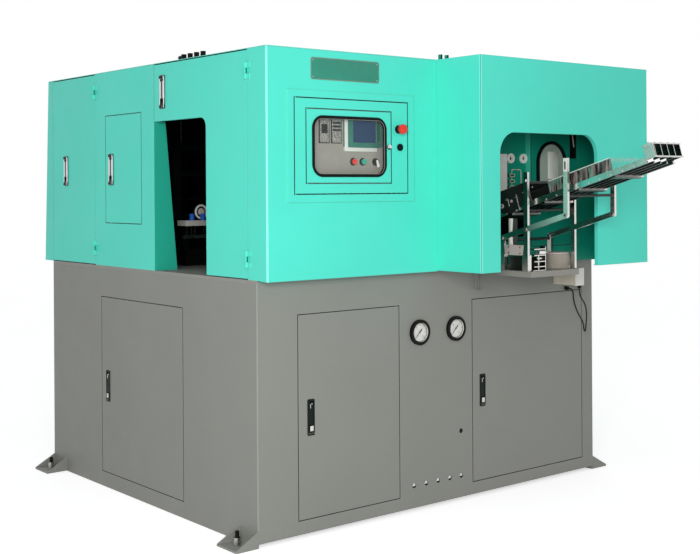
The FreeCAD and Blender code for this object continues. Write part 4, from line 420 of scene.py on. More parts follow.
# The doorways' edges below are painted in the dark seam-shade colours: painted shade in the gaps round the
# doors.
FRONT_DOORWAYS = open_edges(Y_AXIS, 180, 1862, 62, 866)
SIDE_DOORWAY = open_edges(X_AXIS, 527, 1248, 62, 866)
INSPECTION_DOORWAY = open_edges(X_AXIS, 860, 1203, 1190, 1680)
BACKING_PLATE = within(1284, 1345, -9, -0.5, 1311, 1493)
GUIDE_RACK = within(1351, 1387, -17, -0.5, 1311, 1404)
SCREEN_FRAME = within(383, 581, -49, -42.5, 1505, 1641)
SCREEN_FACE = within(397, 567, -47.2, -46, 1519, 1627)
CONTROLLERS = within(261, 373, -47, -42.5, 1510, 1637)
MANIFOLD_PLATE = within(249, 701, 919, 991, 1178, 1204)
MANIFOLD_BASE = within(249, 701, 923, 955, 1122, 1139)
AIR_FITTINGS = within(249, 701, 925, 950, 1204, 1235)
REGULATOR = within(320, 395, 950, 990, 1203, 1275)
ROOF_TOP = 1876.0           # fittings stand above it

# Painted shade: the doorways' cut edges and lips take the dark seam-shade grey.
paint("base_front_wall", GREY, (GREY_SEAM_SHADE, FRONT_DOORWAYS),
      # painted highlight on the wall's left end at the corner
      (GREY_CORNER_HIGHLIGHT, lambda c, n: n.x < -0.9 and c.x < 1 and c.y < 6))
paint("base_left_wall", GREY, (GREY_SEAM_SHADE, SIDE_DOORWAY))
paint("levelling_feet", ZINC, (BLACK, lambda c, n: c.z > 36))
for node, lever in BASE_DOORS:
    painted_door(node, lever, GREY, GREY_SEAM_SHADE, LOCK_BLACK, LOCK_BLACK)
for node, lever in GUARD_DOORS:
    painted_door(node, lever, GREEN, GREEN_SEAM_SHADE, CHROME, LEVER_BROWN)
# The inner door in the niche takes the shaded green: painted shade.
painted_door("inner_door", "inner_door_lever", GREEN_SHADED, GREEN_SEAM_SHADE, LOCK_BLACK, LOCK_BLACK)

paint("guard_front_cover", GREEN,
      # painted highlight on the rounded corner fold
      (GREEN_FOLD_HIGHLIGHT, lambda c, n: c.x < 7.2 and c.y < -59.8 and abs(n.x) > 0.15 and abs(n.y) > 0.15),
      # painted shade: the control panel opening's edges and the lip under the guard's overhang
      (GREEN_SEAM_SHADE, lambda c, n: abs(n.y) < 0.5 and -66.5 < c.y < 0 and 110 < c.x < 710 and 1310 < c.z < 1700),
      (GREEN_SEAM_SHADE, lambda c, n: c.z < 1000.2 and n.z > -0.5))
paint("guard_side_panel", GREEN,
      # painted shade on the inspection doorway's edges
      (GREEN_SEAM_SHADE, INSPECTION_DOORWAY),
      # painted shade on the guide sheet's front face
      (GREEN_GUIDE_SHADED, lambda c, n: c.y < 760 and abs(n.y) > 0.5))
# Painted shade: the guard's inner faces and the roof's underside take the interior shade.
paint("guard_right_panel", GREEN, (INTERIOR_SHADE, lambda c, n: n.x < -0.9 and c.x < 1928))
paint("guard_rear_cover", GREEN, (INTERIOR_SHADE, lambda c, n: n.y < -0.5 and c.y > 1741))
paint("guard_roof", GREEN, (BLACK, lambda c, n: c.z > ROOF_TOP + 0.5), (INTERIOR_SHADE, lambda c, n: n.z < -0.9))
paint("loader_hood", GREEN, (BLACK, lambda c, n: c.z > ROOF_TOP),
      # painted highlight on the hood's rounded corner folds
      (GREEN_FOLD_HIGHLIGHT, lambda c, n: c.y < -312.8 and (c.x < 870.2 or c.x > 1931.8) and abs(n.x) > 0.15
       and abs(n.y) > 0.15),
      # painted shade: the niche's inner faces take the shaded green
      (GREEN_SHADED, lambda c, n: c.y > -319.5 and 864 < c.x < 1938
       and (n.y > 0.5 or abs(n.x) > 0.5 or n.z < -0.5)
       and not (972 < c.x < 1586 and c.z < 1569 and c.y < -300)))
# The partition is painted the shaded green: painted shade inside the niche.
paint("hood_partition", GREEN_SHADED, (WHITE, BACKING_PLATE),
      # painted light: the step face is lighter than the shaded partition
      (GREEN_STEP_LIT, lambda c, n: n.x < -0.9 and 1475 < c.x < 1477),
      (WHITE, lambda c, n: c.y < -0.1 and 1450 < c.z < 1496 and 1349 < c.x < 1478),
      # painted shade in the guide rack
      (GREEN_SEAM_SHADE, GUIDE_RACK))
paint("inner_door_glazing", RUBBER, (FROST, lambda c, n: c.y > -25.5))
paint("control_panel_door", GREEN, (BLACK, lambda c, n: c.y < -72.5),
      # painted shade in the gaps round the control panel door and its window opening
      (GREEN_SEAM_SHADE, gap_shade_edges("control_panel_door", 14)),
      (GREEN_SEAM_SHADE, lambda c, n: abs(n.y) < 0.5 and 170 < c.x < 615 and 1354 < c.z < 1657))
# The window door's outer edges are painted shade in the gap round it.
paint("window_door", GREEN, (GREEN_SEAM_SHADE, gap_shade_edges("window_door", 10)))
paint("window_latch", BLACK, (CHROME, lambda c, n: n.y < -0.9 and c.z > 1503))
paint("emergency_stop_head", RED, (BLACK, lambda c, n: c.y > -95.5))
paint("mode_selector", BLACK, (WHITE, lambda c, n: c.y < -55 and c.z < 1446))
paint("instrument_plate", PANEL_GREY,
      (SCREEN_RIM, SCREEN_FRAME), (SCREEN, SCREEN_FACE), (BLACK, CONTROLLERS),
      (BLACK, lambda c, n: c.y < -42.2 and 1430 < c.z < 1466))
paint("gauge_bodies", BLACK, (DIAL, lambda c, n: n.y < -0.9 and -8 < c.y < 0),
      (WHITE, lambda c, n: -11.5 < c.y < -1 and abs(n.y) < 0.5
       and min(math.hypot(c.x - x, c.z - GAUGE_Z) for x in GAUGE_X.values()) < 41.5),
      (ALLOY, lambda c, n: c.y > 1))
# The box's front faces are painted whiter than its cream sides: a painted highlight on the side facing the
# light.
paint("junction_box", CREAM, (WHITE, lambda c, n: n.y < -0.9))
# The shelf's underside takes the interior shade: painted shade under it.
paint("loader_shelf", SHELF_GREY, (INTERIOR_SHADE, lambda c, n: n.z < -0.9))
paint("loader_support", POLISHED,
      (GUIDE_GREY, lambda c, n: n.x < -0.5 and c.x < 1204 and 1056 < c.z < 1099 and -246 < c.y < -133),
      # pale faces painted as the sheen of the polished steel
      (PALE_AND_SHEEN, lambda c, n: 1100 < c.z < 1215 and 1197 < c.x < 1239 and -185 < c.y < -130),
      (PALE_AND_SHEEN, lambda c, n: n.x < -0.5 and c.x > 1485 and -134 < c.y < -110),
      # painted reflection and shade on the left frame's outer faces
      (TEAL_REFLECTION_BAR, lambda c, n: n.x < -0.5 and c.x < 1195 and c.y < -270),
      (DARK_STEEL, lambda c, n: 1203 < c.x < 1488 and c.z > 1100))
# Painted light and shade: the rails are the shaded dark steel, with their top and front faces in bright steel
# as the lit side.
paint("chute_rails", RAIL_SHADED,
      (POLISHED, lambda c, n: abs(n.x) > 0.8 and c.x < CHUTE_LEFT + 1 and above_chute(c) > -26),
      (BRIGHT, lambda c, n: n.z > 0.8 or n.y < -0.8),
      # painted shade on the gate at the chute's foot
      (GATE_SHADE, lambda c, n: above_chute(c) > 3 and c.y > -300))
# painted shade on the chute head's inner side faces
paint("chute_head", STAINLESS, (RAIL_SHADED, lambda c, n: abs(n.x) > 0.8 and c.x > 1224))
paint("chute_cover", CLEAR,
      (PALE_AND_SHEEN, lambda c, n: n.x < -0.9 and c.x < CHUTE_LEFT + 1 and above_chute(c) > 40))
paint("feed_drive", DARK_STEEL, (BRIGHT, lambda c, n: n.y < -0.5 and c.y < -244))
# The regulator's body takes the interior shade.
paint("clamp_frame", DARK_STEEL,
      (MANIFOLD, MANIFOLD_PLATE), (ZINC, MANIFOLD_BASE), (BLUE, AIR_FITTINGS), (INTERIOR_SHADE, REGULATOR))
# The deck takes the lighter deck grey: painted light.
PLAIN_NODES = ((GREY, ("base_right_wall", "base_rear_wall")), (DECK_GREY_LIT, ("base_deck",)),
               (DARK_STEEL, ("base_frame", "mould_half_left", "mould_half_right", "stretch_carriage")),
               (RUBBER, ("window_gasket",)), (GLASS, ("window_pane",)), (RED, ("stop_button",)),
               (BLACK, ("panel_key_lock", "gauge_needle_left", "gauge_needle_right", "cable_glands")),
               (GREEN_CAP, ("start_button",)), (JACKET, ("sensor_cable",)), (DRUM, ("index_housing",)),
               (GUIDE_GREY, ("index_table",)), (STAINLESS, ("oven_unit",)), (ZINC, ("electrical_plate",)))
for finish, nodes in PLAIN_NODES:
    for node in nodes:
        paint(node, finish)


# ---- mesh building -------------------------------------------------------------------------------
def new_object(name, bm, materials, angle=35.0):
    """Makes an object of a mesh in row-frame metres, with smooth faces split at sharp edges."""
    mesh = bpy.data.meshes.new(name)
    bmesh.ops.recalc_face_normals(bm, faces=bm.faces)
    for face in bm.faces:
        face.smooth = True
    for edge in bm.edges:
        edge.smooth = len(edge.link_faces) < 2 or edge.calc_face_angle(0.0) < math.radians(angle)
    bm.to_mesh(mesh)
    bm.free()
    for material in materials:
        mesh.materials.append(material)
    made = bpy.data.objects.new(name, mesh)
    bpy.context.scene.collection.objects.link(made)
    return made


def piece(name, bm, materials, body, angle=35.0):
    """A new object that rides a body and takes the finishes it is given."""
    made = new_object(name, bm, materials if isinstance(materials, (list, tuple)) else [materials],
                      angle=angle)
    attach(made, body)
    return made


def round_edges(bm, edges, radius):
    bmesh.ops.bevel(bm, geom=edges, offset=radius * MM, segments=2, affect="EDGES",
                    profile=0.5, clamp_overlap=True)


def add_prism(bm, outline, axis, start, stop, mat=0, bevel=0.0):
    """A polygon's solid in machine mm: outline in the two other axes, start and stop along the axis."""
    def spot(u, v, w):
        return {"x": at(w, u, v), "y": at(u, w, v), "z": at(u, v, w)}[axis]
    near = [bm.verts.new(spot(u, v, start)) for u, v in outline]
    far = [bm.verts.new(spot(u, v, stop)) for u, v in outline]
    count = len(outline)
    faces = [bm.faces.new(near), bm.faces.new(far[::-1])]
    faces += [bm.faces.new((near[i], far[i], far[(i + 1) % count], near[(i + 1) % count]))
              for i in range(count)]
    for face in faces:
        face.material_index = mat
    if bevel:
        rims = list(faces[0].edges) + list(faces[1].edges)
        round_edges(bm, rims, bevel)
    return faces


def add_box(bm, x0, x1, y0, y1, z0, z1, mat=0, bevel=0.0):
    """A block in machine mm, with all its edges rounded where a bevel is given."""
    outline = [(x0, z0), (x1, z0), (x1, z1), (x0, z1)]
    before = set(bm.edges)
    add_prism(bm, outline, "y", y0, y1, mat)
    if bevel:
        edges = [e for e in bm.edges if e not in before]
        round_edges(bm, edges, bevel)


def round_outline(x0, x1, z0, z1, radius, steps=6):
    """A rectangle with rounded corners, from the upper right corner counterclockwise."""
    points = []
    for cx, cz, first in ((x1 - radius, z1 - radius, 0), (x0 + radius, z1 - radius, 90),
                          (x0 + radius, z0 + radius, 180), (x1 - radius, z0 + radius, 270)):
        for i in range(steps + 1):
            angle = math.radians(first + 90 * i / steps)
            points.append((cx + radius * math.cos(angle), cz + radius * math.sin(angle)))
    return points


def turning_frame(direction):
    """An axis and two directions square to it and to each other."""
    axis = Vector(direction).normalized()
    side = axis.orthogonal().normalized()
    return axis, side, axis.cross(side)


def add_lathe(bm, profile, centre, direction, mat=0, steps=28):
    """Turns a profile of (along, radius) mm about an axis through centre (machine mm)."""
    axis, side, other = turning_frame(direction)
    rings = []
    base = Vector(centre)
    for along, radius in profile:
        if radius < 1e-6:
            rings.append([bm.verts.new(at(*(base + axis * along)))])
            continue
        ring = []
        for i in range(steps):
            a = 2 * math.pi * i / steps
            out = side * math.cos(a) + other * math.sin(a)
            ring.append(bm.verts.new(at(*(base + axis * along + out * radius))))
        rings.append(ring)
    for first, second in zip(rings, rings[1:]):
        for i in range(steps):
            j = (i + 1) % steps
            corners = [first[i % len(first)], first[j % len(first)], second[j % len(second)],
                       second[i % len(second)]]
            unique = list(dict.fromkeys(corners))
            if len(unique) > 2:
                bm.faces.new(unique).material_index = mat
    for ring in (rings[0], rings[-1]):
        if len(ring) > 2:
            bm.faces.new(ring).material_index = mat


def add_tube(bm, points, radius, sides=10, mat=0):
    """Sweeps a circle along points in metres, carrying its frame along without twist."""
    rings = []
    normal = None
    for i, p in enumerate(points):
        ahead = points[min(i + 1, len(points) - 1)] - points[max(i - 1, 0)]
        tangent = ahead.normalized()
        normal = tangent.orthogonal() if normal is None else normal - tangent * normal.dot(tangent)
        normal = normal.normalized()
        across = tangent.cross(normal)
        rings.append([bm.verts.new(p + (normal * math.cos(a) + across * math.sin(a)) * radius)
                      for a in (2 * math.pi * k / sides for k in range(sides))])
    for first, second in zip(rings, rings[1:]):
        for k in range(sides):
            j = (k + 1) % sides
            bm.faces.new((first[k], first[j], second[j], second[k])).material_index = mat
    bm.faces.new(rings[0][::-1]).material_index = mat
    bm.faces.new(rings[-1]).material_index = mat


def spline_points(points, steps=8):
    """The points of a smooth line whose control points are given in metres."""
    curve = bpy.data.curves.new("line", "CURVE")
    curve.dimensions = "3D"
    spline = curve.splines.new("NURBS")
    spline.points.add(len(points) - 1)
    for target, p in zip(spline.points, points):
        target.co = (p[0], p[1], p[2], 1.0)
    spline.order_u = 3
    spline.use_endpoint_u = True
    spline.resolution_u = steps
    holder = bpy.data.objects.new("line", curve)
    mesh = bpy.data.meshes.new_from_object(holder)
    found = [v.co.copy() for v in mesh.vertices]
    bpy.data.meshes.remove(mesh)
    bpy.data.objects.remove(holder)
    bpy.data.curves.remove(curve)
    return found


# ---- the sensor cable ------------------------------------------------------------------------------
CABLE_DIAMETER = 0.0065
BOX_GLAND = (1704.0, -114.0, 881.0)
WALL_GLAND = (1741.0, -16.0, 872.5)
CABLE_FROM_BOX = [(0, 0, 0), (0, 0, -15), (5, 1, -31), (17, 2, -48), (34, 4, -63), (50, 7, -82),
                  (61, 10, -107), (67, 14, -136), (69, 18, -161)]
CABLE_TO_WALL = [(32, -78, -171.5), (35.2, -74, -187.4), (43.7, -63.5, -197.2), (54.3, -50.5, -197.2),
                 (62.8, -40, -187.4), (65, -36.5, -172), (60, -34.5, -156), (50, -33.5, -139),
                 (31, -32, -115), (16, -31, -87), (5, -31, -61), (1, -30.7, -41), (0.3, -30.5, -28),
                 (0, -29.7, -16.7), (0, -23.6, -6.1), (0, -13, 0), (0, 0, 0)]


def sensor_cable():
    """The cable from the junction box's gland to the wall's gland, on one smooth line."""
    ex, ey, ez = BOX_GLAND
    wx, wy, wz = WALL_GLAND
    route = [at(ex + x, ey + y, ez + z) for x, y, z in CABLE_FROM_BOX]
    route += [at(wx + x, wy + y, wz + z) for x, y, z in CABLE_TO_WALL]
    path = spline_points(route)
    bm = bmesh.new()
    add_tube(bm, path, CABLE_DIAMETER / 2, sides=14)
    cable = piece("sensor_cable_line", bm, JACKET, "machine", angle=60.0)
    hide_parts("sensor_cable")
    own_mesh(cable)


sensor_cable()


# ---- trim that the solids leave to this file ----------------------------------------------------------
def add_ring(bm, section, centre, direction, mat=0, steps=40):
    """Turns a closed section of (along, radius) mm about an axis: a washer, rim or torus."""
    axis, side, other = turning_frame(direction)
    base = Vector(centre)
    rows = []
    for i in range(steps):
        a = 2 * math.pi * i / steps
        out = side * math.cos(a) + other * math.sin(a)
        rows.append([bm.verts.new(at(*(base + axis * along + out * radius))) for along, radius in section])
    for i in range(steps):
        first, second = rows[i], rows[(i + 1) % steps]
        for k in range(len(section)):
            m = (k + 1) % len(section)
            bm.faces.new((first[k], second[k], second[m], first[m])).material_index = mat


def torus_section(radius, wire, sides=8):
    """A closed round section of (along, radius) mm for add_ring."""
    return [(wire * math.sin(2 * math.pi * k / sides), radius + wire * math.cos(2 * math.pi * k / sides))
            for k in range(sides)]


def add_bolt(bm, centre, direction, radius, height, mat=0, socket=1):
    """A socket screw's head with its dark recess."""
    add_lathe(bm, [(0, radius), (height * 0.75, radius), (height, radius * 0.82), (height, radius * 0.5),
                   (height * 0.9, 0)], centre, direction, mat, steps=16)
    far = Vector(centre) + Vector(direction).normalized() * height * 0.92
    add_lathe(bm, [(0, radius * 0.48), (height * 0.1, radius * 0.46), (height * 0.1, 0)], far, direction,
              socket, steps=6)


def name_plate():
    """The bare plate on the guard's front, with its rim and four rivets."""
    x0, x1, z0, z1, rim = 206, 547, 1759, 1844, 4
    face = -68.4
    bm = bmesh.new()
    add_prism(bm, round_outline(x0, x1, z0, z1, 9), "y", face, face + 1.5, 0, bevel=0.5)
    add_prism(bm, round_outline(x0 + rim, x1 - rim, z0 + rim, z1 - rim, 6), "y", face - 0.4, face + 0.1, 1,
              bevel=0.2)
    for x in (x0 + 11, x1 - 11):
        for z in (z0 + 10, z1 - 10):
            add_lathe(bm, [(0, 3.4), (0.9, 2.9), (1.4, 0)], (x, face - 0.3, z), (0, -1, 0), 2, steps=14)
    piece("name_plate", bm, [PLATE_RIM, PLATE_TEAL, ZINC], "machine")


def lock_trim(door, lever, guard):
    """One flush lock's plate strips and lever strips, placed by fractions across the plate."""
    low, high = (local(p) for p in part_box(lever))
    on_side = high.y - low.y > high.x - low.x
    left = high.y + LOCK_MARGIN if on_side else low.x - LOCK_MARGIN
    width = (high.y - low.y if on_side else high.x - low.x) + 2 * LOCK_MARGIN
    face = low.x if on_side else low.y
    bottom = low.z - LOCK_BELOW_LEVER
    top = bottom + LOCK_HEIGHT

    def slab(bm, f0, f1, front, back, z0, z1, mat):
        if on_side:
            near, far = left - f1 * width, left - f0 * width
        else:
            near, far = left + f0 * width, left + f1 * width
        outline = [(near, z0), (far, z0), (far, z1), (near, z1)]
        add_prism(bm, outline, "x" if on_side else "y", face + front, face + back, mat, bevel=0.4)

    def spot(f, out, z):
        return (face + out, left - f * width, z) if on_side else (left + f * width, face + out, z)

    ahead = (-1, 0, 0) if on_side else (0, -1, 0)
    plate = bmesh.new()
    handle = bmesh.new()
    if guard:
        slab(plate, 0.04, 0.8, -3.9, -2.9, top - 15, top - 2, 1)
        slab(plate, 0.04, 0.66, -3.9, -2.9, bottom + 2, bottom + 15, 1)
        slab(plate, 0.86, 0.97, -4.0, -2.9, bottom + 3, top - 3, 0)
        slab(handle, 0.19, 0.33, -0.9, 0.1, low.z + 3, high.z - 16, 0)
        slab(handle, 0.62, 0.8, -0.9, 0.1, low.z + 3, high.z - 16, 0)
        finishes = ([CHROME, BLACK], [CHROME, BLACK])
    else:
        slab(plate, 0.3, 0.78, -3.8, -2.9, bottom + 17, bottom + 37, 0)
        slab(plate, 0.08, 0.92, -3.5, -2.9, bottom + 6, bottom + 10, 1)
        arc = [at(*spot(0.32 + 0.1 * math.sin(a), -0.6, high.z - 18 + 9 * math.cos(a)))
               for a in (math.radians(20 + 22 * k) for k in range(7))]
        add_tube(handle, arc, 0.0011, sides=8, mat=0)
        add_lathe(handle, [(-0.1, 3.2), (0.7, 2.8), (1.0, 0)], spot(0.62, 0, high.z - 9), ahead, 1, steps=14)
        finishes = ([PALE_AND_SHEEN, DARK_STEEL], [CHROME, ZINC])
    piece(door + "_lock_trim", plate, finishes[0], door)
    piece(lever + "_trim", handle, finishes[1], lever)


DIAL_START = 225.0          # degrees, counted from +X towards +Z seen from the front
TICK_STEP = 9.0
TICK_COUNT = 31
TICKS_TO_LONG = 5
TICKS_TO_NUMBER = 10
NUMBER_RADIUS = 22.5
NUMBER_SIZE = 0.0085


def gauge_trim(side, x):
    """One dial's marks, rim, numbers and lens."""
    bm = bmesh.new()
    for i in range(TICK_COUNT):
        a = math.radians(DIAL_START - TICK_STEP * i)
        inner, half = (29.0, 0.7) if i % TICKS_TO_LONG == 0 else (32.0, 0.35)
        c, n = Vector((math.cos(a), math.sin(a))), Vector((-math.sin(a), math.cos(a)))
        spot = Vector((x, GAUGE_Z))
        corners = [spot + c * r + n * h
                   for r, h in ((inner, -half), (35.5, -half), (35.5, half), (inner, half))]
        add_prism(bm, [tuple(p) for p in corners], "y", GAUGE_DIAL_Y - 0.35, GAUGE_DIAL_Y + 0.1, 0)
    add_ring(bm, [(-0.1, 37.6), (0.5, 37.6), (0.5, 39.95), (-0.1, 39.95)],
             (x, GAUGE_DIAL_Y, GAUGE_Z), (0, -1, 0), 1)
    piece("gauge_marks_" + side, bm, [DIAL_MARK, BLACK], "machine")
    lens = bmesh.new()
    add_lathe(lens, [(0, 39.9), (1.0, 39.9), (1.5, 30), (1.9, 15), (2.0, 0)],
              (x, GAUGE_DIAL_Y - 2.6, GAUGE_Z), (0, -1, 0), steps=48)
    piece("gauge_lens_" + side, lens, GLASS, "machine", angle=60.0)
    for i in range(0, TICK_COUNT, TICKS_TO_NUMBER):
        a = math.radians(DIAL_START - TICK_STEP * i)
        data = bpy.data.curves.new("gauge_number", "FONT")
        data.body = str(i // TICKS_TO_LONG)
        data.size = NUMBER_SIZE
        data.align_x, data.align_y = "CENTER", "CENTER"
        data.extrude = 0.00015
        data.materials.append(DIAL_MARK)
        number = bpy.data.objects.new("gauge_number_%s_%s" % (side, data.body), data)
        bpy.context.scene.collection.objects.link(number)
        number.location = at(x + NUMBER_RADIUS * math.cos(a), GAUGE_DIAL_Y - 0.2,
                             GAUGE_Z + NUMBER_RADIUS * math.sin(a))
        number.rotation_euler = (math.radians(90), 0, 0)
        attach(number, "machine")


CONTROLLER_X = (262.0, 322.0)
BUTTON_INSET = 6.0
BUTTON_PITCH = 10.0
BUTTON_SIZE = 7.0


def instrument_trim():
    """The screen's pale surround and inner rim, the controllers' faces and the gasket's bright lip."""
    bm = bmesh.new()
    surround = [(385, 1640), (385, 1492), (389, 1488), (551, 1488), (551, 1503), (404, 1503),
                (401, 1506), (401, 1640)]
    add_prism(bm, surround, "y", -49.4, -41.9, 0, bevel=0.6)
    rim = [(401, 1630), (401, 1506), (404, 1503), (566, 1503), (566, 1523), (428, 1523), (428, 1630)]
    add_prism(bm, rim, "y", -48.9, -46.0, 1, bevel=0.3)
    add_box(bm, 546, 566, -48.8, -46.0, 1524, 1630, 2, bevel=0.3)
    piece("screen_surround", bm, [PALE_AND_SHEEN, SCREEN_RIM, GREEN_SEAM_SHADE], "control_panel")
    bm = bmesh.new()
    for x0 in CONTROLLER_X:
        add_box(bm, x0 + 3, x0 + 47, -46.8, -45.9, 1521, 1611, 0, bevel=0.3)
        for k in range(4):
            left = x0 + BUTTON_INSET + k * BUTTON_PITCH
            add_box(bm, left, left + BUTTON_SIZE, -47.6, -46.7, 1524, 1524 + BUTTON_SIZE, 1, bevel=0.3)
    add_box(bm, 272, 302, -47.1, -46.7, 1556, 1592, 2, bevel=0.1)
    for z in (1566, 1580, 1594):
        add_box(bm, 327, 367, -47.1, -46.7, z, z + 8, 2, bevel=0.1)
    piece("controller_faces", bm, [KEYPAD, PANEL_GREY, BLACK], "control_panel")
    bm = bmesh.new()
    lip = [at(x, -75.2, z) for x, z in round_outline(219.5, 567.5, 1399.5, 1610.5, 34, steps=8)]
    add_tube(bm, lip + [lip[0]], 0.0009, sides=8)
    piece("gasket_lip", bm, PANEL_GREY, "window")


GUARD_WIRE_Y = -9.0
RACK_LOW = 1313.0
RACK_PITCH = 26.0
RACK_COUNT = 4
WINDOW_X = 1616.0
WINDOW_HALF = 92.0
WINDOW_SILL = 1281.0
WINDOW_SPRING = 1454.0      # where its arch starts
WINDOW_RING_Y = -31.0


def niche_trim():
    """The wire guard, the arched window's ring and a pale patch painted as a reflection on its pane, and the
    lever's painted glint strip and plug.
    """
    bm = bmesh.new()
    wire = [at(x, GUARD_WIRE_Y, z) for x, z in round_outline(1373, 1433, 1322, 1423, 10, steps=4)]
    add_tube(bm, wire + [wire[0]], 0.0015, sides=8)
    for x in (1383, 1423):
        for z in (1323, 1422):
            add_lathe(bm, [(0, 2.4), (8.5, 2.4), (9.2, 1.6)], (x, 0.2, z), (0, -1, 0), 0, steps=12)
    for k in range(RACK_COUNT):
        low = RACK_LOW + RACK_PITCH * k
        frame_line = [at(x, -16.3, z) for x, z in round_outline(1354, 1384, low, low + 11, 3, steps=3)]
        add_tube(bm, frame_line + [frame_line[0]], 0.0013, sides=8)
    piece("inlet_wire_guard", bm, CREAM, "machine", angle=60.0)
    bm = bmesh.new()
    arch = [(WINDOW_X - WINDOW_HALF, WINDOW_SILL)]
    arch += [(WINDOW_X - WINDOW_HALF * math.cos(a), WINDOW_SPRING + WINDOW_HALF * math.sin(a))
             for a in (math.pi * k / 24 for k in range(25))]
    arch += [(WINDOW_X + WINDOW_HALF, WINDOW_SILL)]
    ring = [at(x, WINDOW_RING_Y, z) for x, z in arch]
    add_tube(bm, ring + [ring[0]], 0.0072, sides=10)
    piece("inner_window_ring", bm, RUBBER, "inner_door", angle=60.0)
    # A white slanted strip on the lever: a painted glint.
    bm = bmesh.new()
    add_prism(bm, [(1760, 1598), (1766, 1600), (1776, 1530), (1771, 1528)], "y", -28.2, -26.9, 0, bevel=0.4)
    piece("inner_door_lever_glint", bm, WHITE, "inner_door_lever")
    bm = bmesh.new()
    add_prism(bm, round_outline(1760, 1776, 1486, 1502, 7), "y", -31.2, -29.8, 0, bevel=0.3)
    piece("inner_door_lock_plug", bm, BLACK, "inner_door")
    # A pale patch on the window: a painted reflection.
    bm = bmesh.new()
    add_prism(bm, round_outline(1594, 1664, 1380, 1506, 5), "y", -26.4, -25.9, 0, bevel=0.1)
    piece("inner_window_reflection", bm, PALE_AND_SHEEN, "inner_door")


LINK_Y = -122.0
LINK_Z = 1128.0
FRONT_POST_Y = -474.0
SCREW_FIRST = 90.0
SCREW_LAST = 830.0
SCREW_PITCH = 58.0


def link_z(y):
    """Height of the side frames' sloping links, which run parallel to the chute."""
    return LINK_Z + CHUTE_RISE * (LINK_Y - y)


def loader_trim():
    """Screws and the slotted plate of the side frames, the chute's screws and its cover's side."""
    bm = bmesh.new()
    plate = [(-485, 1405), (-464, 1405), (-464, 1461), (-485, 1461)]
    face = FRAME_LEFT - 2.2
    add_prism(bm, plate, "x", face, FRAME_LEFT + 0.1, 2, bevel=0.5)
    add_prism(bm, round_outline(-478, -471, 1414, 1448, 3), "x", face - 0.4, face + 0.2, 1, bevel=0.1)
    for x, ys in ((FRAME_LEFT, (FRONT_POST_Y, -257, LINK_Y)), (FRAME_RIGHT, (FRONT_POST_Y, LINK_Y))):
        for y in ys:
            add_bolt(bm, (x + 0.1, y, link_z(y)), (-1, 0, 0), 8.0, 5.0)
    for y in (-225, -160):
        for z in (1090, 1064):
            add_bolt(bm, (FRAME_LEFT + 0.1, y, z), (-1, 0, 0), 4.0, 2.5)
    piece("loader_support_screws", bm, [ZINC, BLACK, PALE_AND_SHEEN], "machine")
    bm = bmesh.new()
    u = SCREW_FIRST
    while u < SCREW_LAST:
        add_bolt(bm, (CHUTE_LEFT + 0.1, *on_chute(u, -18.0)), (-1, 0, 0), 3.4, 2.6)
        u += SCREW_PITCH
    piece("chute_screws", bm, [BRIGHT, BLACK], "machine")
    bm = bmesh.new()
    side = [on_chute(u, w) for u, w in ((350, 1), (685, 1), (685, 46), (350, 46))]
    add_prism(bm, side, "x", CHUTE_LEFT + 1.0, CHUTE_LEFT + 2.4)
    piece("chute_cover_side", bm, STREAKED, "machine")
    gate_trim()


def gate_trim():
    """The bent fingers, screws and roller of the gate at the chute's foot."""
    bm = bmesh.new()
    for path, radius in (
            ([(1217, -178, 1312), (1216, -184, 1300), (1216, -190, 1276), (1217, -200, 1246)], 2.2),
            ([(1217, -128, 1296), (1215, -136, 1284), (1216, -140, 1262)], 2.6),
            ([(1217, -228, 1304), (1215, -236, 1290), (1216, -250, 1268)], 1.6)):
        add_tube(bm, spline_points([at(*p) for p in path]), radius * MM, sides=10)
    add_bolt(bm, (FRAME_LEFT + 0.1, -257, 1372), (-1, 0, 0), 7.0, 6.0)
    for y, z, radius, height, mat in ((-96, 1262, 10.0, 4.0, 2), (-150, 1284, 6.0, 4.0, 2),
                                      (-118, 1290, 4.0, 3.0, 0), (-172, 1302, 3.4, 3.0, 0),
                                      (-214, 1322, 3.0, 3.0, 0), (-246, 1336, 3.6, 3.0, 0),
                                      (-268, 1344, 3.0, 3.0, 0)):
        add_bolt(bm, (CHUTE_LEFT - 0.1, y, z), (-1, 0, 0), radius, height, mat)
    roller = [(0, 9), (34, 9), (36, 5), (50, 5), (51, 4), (51.5, 0)]
    add_lathe(bm, roller, (1238, -283, 1068), (1, 0, 0), steps=20)
    piece("gate_fingers", bm, [CHROME, BLACK, GUIDE_GREY], "machine", angle=60.0)


REGULATOR_X = 352
REGULATOR_Z = 1241
STUD_X = (268, 309, 357, 420, 520, 620)
STUD_Y = 939
STUD_Z = 1138.6
STUD_PROFILE = ((0, 3.5), (12, 3.5), (13, 5.5), (20, 5.5), (21, 3.5), (40.5, 3.5))


def clamp_trim():
    """The regulator's rim, painted pale as the sheen of a chrome ring, and its knob, and the studs between
    the manifold's plates.
    """
    bm = bmesh.new()
    # Painted sheen: a pale ring in place of the chrome rim.
    add_ring(bm, torus_section(29.0, 5.0), (REGULATOR_X, 952, REGULATOR_Z), (0, -1, 0))
    for y, profile, mat in ((954, [(0, 17), (5, 16), (6, 12), (6.5, 0)], 1),
                            (955, [(0, 22), (2, 21), (2.2, 0)], 2)):
        add_lathe(bm, profile, (REGULATOR_X, y, REGULATOR_Z), (0, -1, 0), mat, steps=24)
    piece("regulator_rim", bm, [PALE_AND_SHEEN, GUIDE_GREY, BLACK], "machine", angle=50.0)
    bm = bmesh.new()
    for x in STUD_X:
        add_lathe(bm, STUD_PROFILE, (x, STUD_Y, STUD_Z), (0, 0, 1), steps=14)
    piece("manifold_studs", bm, DARK_STEEL, "machine")


